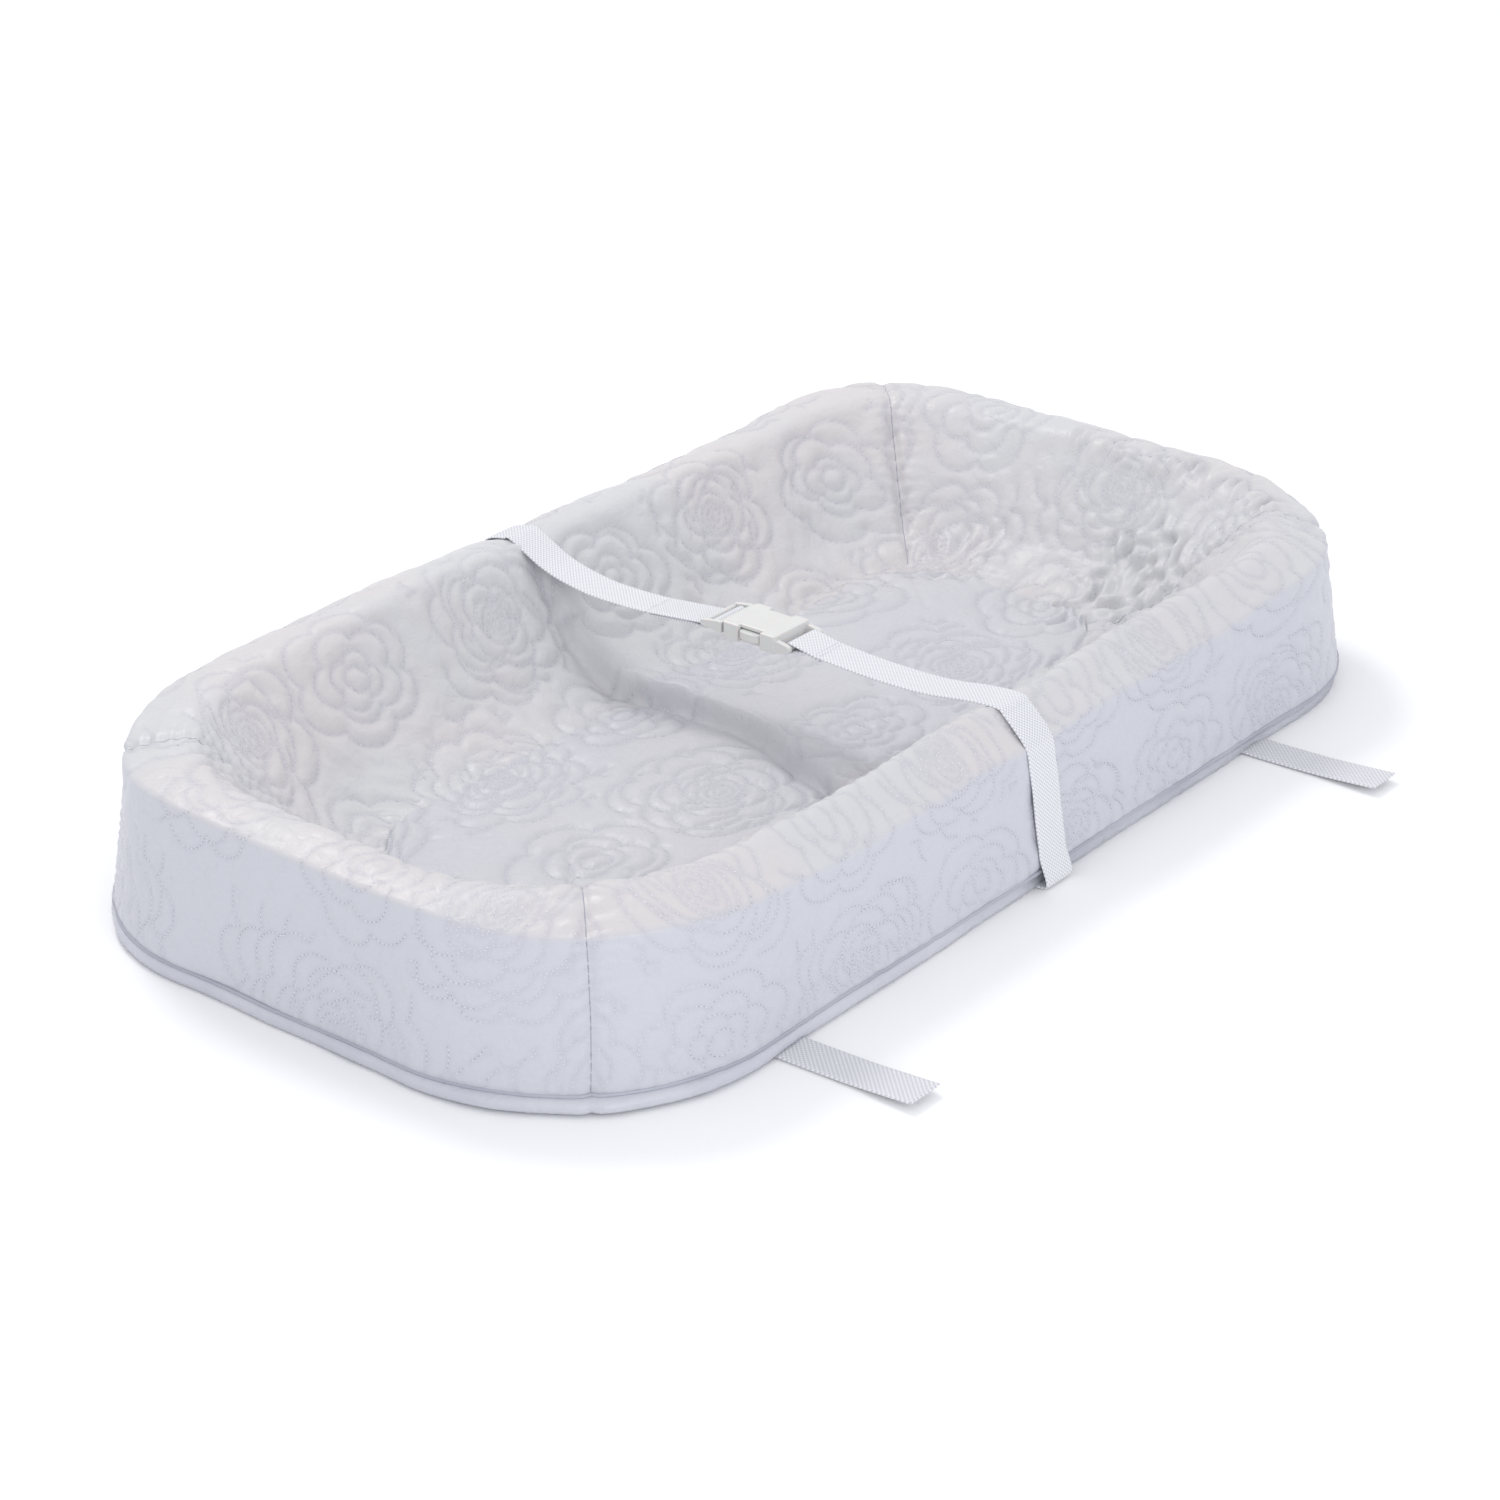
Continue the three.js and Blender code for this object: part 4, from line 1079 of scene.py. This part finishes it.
def strap(name, path, cell=1.25, relief=0.14):
    """Flat woven webbing along a path of 3-D points, with a raised basket weave and closed ends."""
    path = resample(path, cell)
    across = np.broadcast_to(np.array([1.0, 0.0, 0.0]), path.shape)
    normals = unit(np.cross(across, np.gradient(path, axis=0)))
    columns = int(round(WEB_WIDTH / cell))
    sideways = np.linspace(-0.5, 0.5, columns + 1)
    edge = 1.0 - np.abs(2 * sideways[None]) ** 12
    row, column = np.arange(len(path))[:, None], np.arange(columns + 1)[None]
    check = ((row + column) % 2) * 2.0 - 1.0
    half = WEB_THICKNESS / 2 * (0.45 + 0.55 * edge) + relief * check * edge
    middle = path[:, None] + across[:, None] * (sideways * WEB_WIDTH)[None, :, None]
    points = [middle + normals[:, None] * (face * half)[..., None] for face in (1.0, -1.0)]
    weave = np.stack(np.broadcast_arrays(row, column), axis=-1).reshape(-1, 2)
    count = len(path) * (columns + 1)
    top = np.arange(count).reshape(len(path), columns + 1)
    under = top + count
    faces = grid_faces(top, True) + grid_faces(under, False)
    sides = ((top[:, 0], under[:, 0]), (under[:, -1], top[:, -1]))
    ends = ((under[0], top[0]), (top[-1], under[-1]))
    for a, b in (*sides, *ends):
        faces += np.stack([a[:-1], a[1:], b[1:], b[:-1]], axis=1).tolist()
    thing = make_object(name, np.vstack([face.reshape(-1, 3) for face in points]), faces, webbing)
    layer = thing.data.uv_layers.new(name="weave")
    corner_vertices = np.zeros(len(thing.data.loops), np.int32)
    thing.data.loops.foreach_get("vertex_index", corner_vertices)
    layer.data.foreach_set("uv", np.tile(weave, (2, 1))[corner_vertices].astype(np.float32).ravel())
    return thing


def hinge(name):
    """Place of a joint in millimetres."""
    found = next(j for j in frame["joints"] if j["name"] == name)
    return np.array(found["pos_m"]) / MM


far_hinge, near_hinge = hinge("belt_lift"), hinge("near_belt_lift")
insert_hinge, housing_hinge = hinge("insert_pitch"), hinge("housing_pitch")
BUCKLE_Z = float(sum(corner[2] for corner in box_mm("latch_arm_left")) / 2)
# The webbing sewn under the panel is a piece of its own, which stays when the belt lifts
ROOT_START = 150.0
ROOT_END = 202.0
for side, sign in (("far", 1.0), ("near", -1.0)):
    root_line = [(0.0, sign * ROOT_START, SEWN_Z), (0.0, sign * (ROOT_END - 0.5), SEWN_Z)]
    root = strap(f"belt_root_{side}", root_line)
    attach(root, "pad")
    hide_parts(f"belt_anchor_{side}")


def rim_path(side, leaves_at):
    """Down the cover at x = 0 from where the belt leaves it to the hem, a little above it."""
    patch = patches["near" if side < 0 else "far"]
    middle = patch["final"].shape[0] // 2
    surface, normals = patch["final"][middle], patch["normals"][middle]
    keep = patch["out"][middle] > leaves_at
    raised = surface[keep] + normals[keep] * (WEB_THICKNESS / 2 + 1.3)
    raised[:, 0] = 0.0
    even = resample(raised, 2.0)
    kernel = np.ones(7) / 7.0
    for axis in (1, 2):
        even[:, axis] = np.convolve(np.pad(even[:, axis], 3, mode="edge"), kernel, mode="valid")
    return even[2:-2:3]


def belt_half(name, side, leaves_at, run):
    """One half of the belt: out from under the hem, up over the rim and along the run."""
    hem_y = HALF_WIDTH + 2.4
    places = ((ROOT_END, SEWN_Z), (205.0, SEWN_Z), (hem_y - 1.2, SEWN_Z + 0.6), (hem_y + 0.9, 5.0))
    under = [[0, side * y, z] for y, z in places]
    over = rim_path(side, leaves_at)[::-1]
    path = smooth_path(np.vstack([under, over, run]), 1.0)
    half = strap(f"belt_{name}_strap", path)
    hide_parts(f"belt_run_{name}")
    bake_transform(half)
    return path


STRAP_JOIN_Y = 74.0
STRAP_JOIN_Z = insert_hinge[2] - 5.0
far_run = [
    far_hinge + [0, -22, -8.6],
    far_hinge + [0, -52, -14.6],
    far_hinge + [0, -80, -15.2],
    [0, STRAP_JOIN_Y, STRAP_JOIN_Z],
]
belt_half("far", 1, 121.0, far_run)

# Through the ladder lock: over the middle bar, back under it and away as the tail
LADDER_FRONT = 19.3
LADDER_BACK = 21.9
LADDER_OVER = BUCKLE_Z + 1.2 + WEB_THICKNESS / 2 + 0.3
tail_under = WEB_THICKNESS + 0.05
ladder_middle = (LADDER_FRONT + LADDER_BACK) / 2
ladder_points = [
    (STRAP_JOIN_Y + 0.8, STRAP_JOIN_Z),
    (insert_hinge[1] + 24.0, insert_hinge[2] - 2.4),
    (insert_hinge[1] + 8.0, insert_hinge[2] - 0.5),
    (LADDER_BACK + 2.3, insert_hinge[2] + 1.1),
    (LADDER_BACK + 1.5, BUCKLE_Z + 0.6),
    (LADDER_BACK + 0.3, LADDER_OVER - 0.5),
    (ladder_middle, LADDER_OVER),
    (LADDER_FRONT - 0.6, LADDER_OVER - 0.7),
    (LADDER_FRONT - 1.4, BUCKLE_Z),
    (LADDER_FRONT - 0.9, BUCKLE_Z - 2.6),
    (ladder_middle, BUCKLE_Z - 3.8),
    (LADDER_BACK + 1.2, BUCKLE_Z - 4.1),
    (insert_hinge[1] + 4.5, insert_hinge[2] - 2.3),
    (insert_hinge[1] + 14.0, insert_hinge[2] - 1.3 - tail_under),
    (insert_hinge[1] + 28.0, insert_hinge[2] - 2.9 - tail_under),
    (insert_hinge[1] + 44.0, insert_hinge[2] - 4.8 - tail_under),
]
ladder_path = smooth_path([(0.0, y, z) for y, z in ladder_points], 1.0)
ladder_strap = strap("belt_ladder_strap", ladder_path, cell=1.0)
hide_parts("belt_ladder_turn", "belt_tail")
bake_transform(ladder_strap)

# The near half ends in a loop round the housing's bar, folded back under itself
bar = housing_hinge
loop_angles = np.radians([90, 125, 160, 200, 235, 270])
LOOP_RADIUS = 1.7 + 0.35 + WEB_THICKNESS / 2
near_run = [
    near_hinge + [0, 22, -5.6],
    near_hinge + [0, 54, -10.2],
    near_hinge + [0, 90, -11.2],
    bar + [0, -22, -0.6],
    bar + [0, -8, 1.5],
    *[bar + [0, -LOOP_RADIUS * math.cos(a), LOOP_RADIUS * math.sin(a)] for a in loop_angles],
    bar + [0, -5, -1.4],
    bar + [0, -12, -0.45],
    bar + [0, -22, -1.9],
]
near_path = belt_half("near", -1, 127.0, near_run)

for side, tab_x in zip(("left", "right"), TAB_X):
    hinge_y = hinge(f"tab_{side}_lift")[1]
    reach = hinge_y - box_mm(f"tab_flap_{side}")[0][1]
    line = [
        (tab_x, hinge_y + 26.0, SEWN_Z),
        (tab_x, hinge_y + 8.0, SEWN_Z),
        (tab_x, hinge_y, SEWN_Z),
        (tab_x + 0.4, hinge_y - 0.22 * reach, SEWN_Z + 0.1),
        (tab_x + 1.0, hinge_y - 0.5 * reach, SEWN_Z + 0.5),
        (tab_x + 0.6, hinge_y - 0.72 * reach, SEWN_Z + 2.0),
        (tab_x, hinge_y - reach, SEWN_Z + 4.2),
    ]
    tab = strap(f"mounting_tab_{side}", smooth_path(line, 1.0), cell=1.5, relief=0.24)
    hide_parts(f"tab_root_{side}", f"tab_flap_{side}")
    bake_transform(tab)
    first_x, last_x = tab_x - SEAM_HALF, tab_x + SEAM_HALF
    rows = [[(first_x, hinge_y + off, 0.5), (last_x, hinge_y + off, 0.5)] for off in (8.0, 12.0)]
    stitch_rows(f"tab_seam_{side}", rows)


def path_height(path, y, top):
    """The highest or lowest height of a strap's path near this y."""
    near_by = path[np.abs(path[:, 1] - y) < 1.0]
    return near_by[:, 2].max() if top else near_by[:, 2].min()


for side, sign in (("far", 1.0), ("near", -1.0)):
    edge_in, edge_out, half = sign * 154.5, sign * 173.5, 9.5
    a, b, c, d = (-half, edge_in), (half, edge_in), (half, edge_out), (-half, edge_out)
    rows = [[(x, y, 0.5) for x, y in line] for line in ((a, b, c, d, a), (a, c), (b, d))]
    stitch_rows(f"belt_box_seam_{side}", rows)

loop_rows = []
for back_off in (17.5, 20.5):
    y = bar[1] - back_off
    z = path_height(near_path, y, True) + WEB_THICKNESS / 2 + 0.15
    loop_rows.append([(-SEAM_HALF, y, z), (SEAM_HALF, y, z)])
stitch_rows("belt_loop_seam", loop_rows, "belt_near", 1.0)
tail_y = insert_hinge[1] + 41.0
tail_z = path_height(ladder_path, tail_y, False) - WEB_THICKNESS / 2 - 0.15
stitch_rows("belt_tail_seam", [[(-SEAM_HALF, tail_y, tail_z), (SEAM_HALF, tail_y, tail_z)]], "belt_far")


# ---------------------------------------------------------------- carried-over CAD nodes
for node in ("buckle_housing", "buckle_insert", "latch_arm_left", "latch_arm_right"):
    thing = frame["nodes"][node]
    thing.data.materials.clear()
    thing.data.materials.append(plastic)
    weld = thing.modifiers.new("weld", "WELD")
    weld.merge_threshold = 0.00002
    bevel = thing.modifiers.new("soften", "BEVEL")
    bevel.width = 0.00045
    bevel.segments = 3
    bevel.limit_method = "ANGLE"
    bevel.angle_limit = math.radians(38)
    bevel.harden_normals = False


# ---------------------------------------------------------------- stage, light and camera
floor_looks = {"Base Color": (0.95, 0.95, 0.955), "Roughness": 0.9, "Specular IOR Level": 0.1}
floor_material = Shading("studio_floor").finish(floor_looks)
FLOOR_REACH = 9000
floor_corners = [(x * FLOOR_REACH, y * FLOOR_REACH, 0) for x, y in ((-1, -1), (1, -1), (1, 1), (-1, 1))]
floor = make_object("studio_floor_sheet", floor_corners, [(0, 1, 2, 3)], floor_material)

world = bpy.data.worlds.new("studio_world")
bpy.context.scene.world = world
world.use_nodes = True
background = world.node_tree.nodes["Background"].inputs
background["Color"].default_value = (0.965, 0.972, 1.0, 1.0)
background["Strength"].default_value = 0.97


def turned(right, up, back, place):
    """The matrix of something at this place whose own axes point right, up and back."""
    return Matrix([[right[k], up[k], back[k], place[k]] for k in range(3)] + [[0.0, 0.0, 0.0, 1.0]])


def area_light(name, place, aim, size, power, colour):
    data = bpy.data.lights.new(name, "AREA")
    data.shape = "DISK"
    data.size = size
    data.energy = power
    data.color = colour
    lamp = bpy.data.objects.new(name, data)
    bpy.context.scene.collection.objects.link(lamp)
    back = unit(np.array(place, float) - np.array(aim, float))
    side = unit(np.cross([0.0, 1.0, 0.0], back))
    lamp.matrix_world = turned(side, np.cross(back, side), back, place)


area_light("key_softbox", (0.4, 1.4, 2.2), (0.0, 0.0, 0.05), 0.7, 17.0, (1.0, 0.985, 0.97))
area_light("fill_softbox", (-1.3, -2.1, 0.9), (0.0, 0.0, 0.05), 1.4, 12.5, (0.95, 0.97, 1.0))

AZIMUTH = math.radians(-51.394)
ELEVATION = math.radians(26.294)
DISTANCE = 2.234
right = np.array([math.cos(AZIMUTH), math.sin(AZIMUTH), 0.0])
level = math.cos(ELEVATION)
back = np.array([math.sin(AZIMUTH) * level, -math.cos(AZIMUTH) * level, math.sin(ELEVATION)])
up = np.cross(back, right)
camera_data = bpy.data.cameras.new("camera")
camera_data.sensor_width = 36.0
camera_data.lens = 91.0
camera_data.shift_x = -0.0049
camera_data.shift_y = 0.0184
camera_data.clip_start = 0.05
camera_data.clip_end = 60.0
camera = bpy.data.objects.new("camera", camera_data)
bpy.context.scene.collection.objects.link(camera)
camera.matrix_world = turned(right, up, back, back * DISTANCE)
bpy.context.scene.camera = camera
bpy.context.scene.view_settings.view_transform = "Standard"
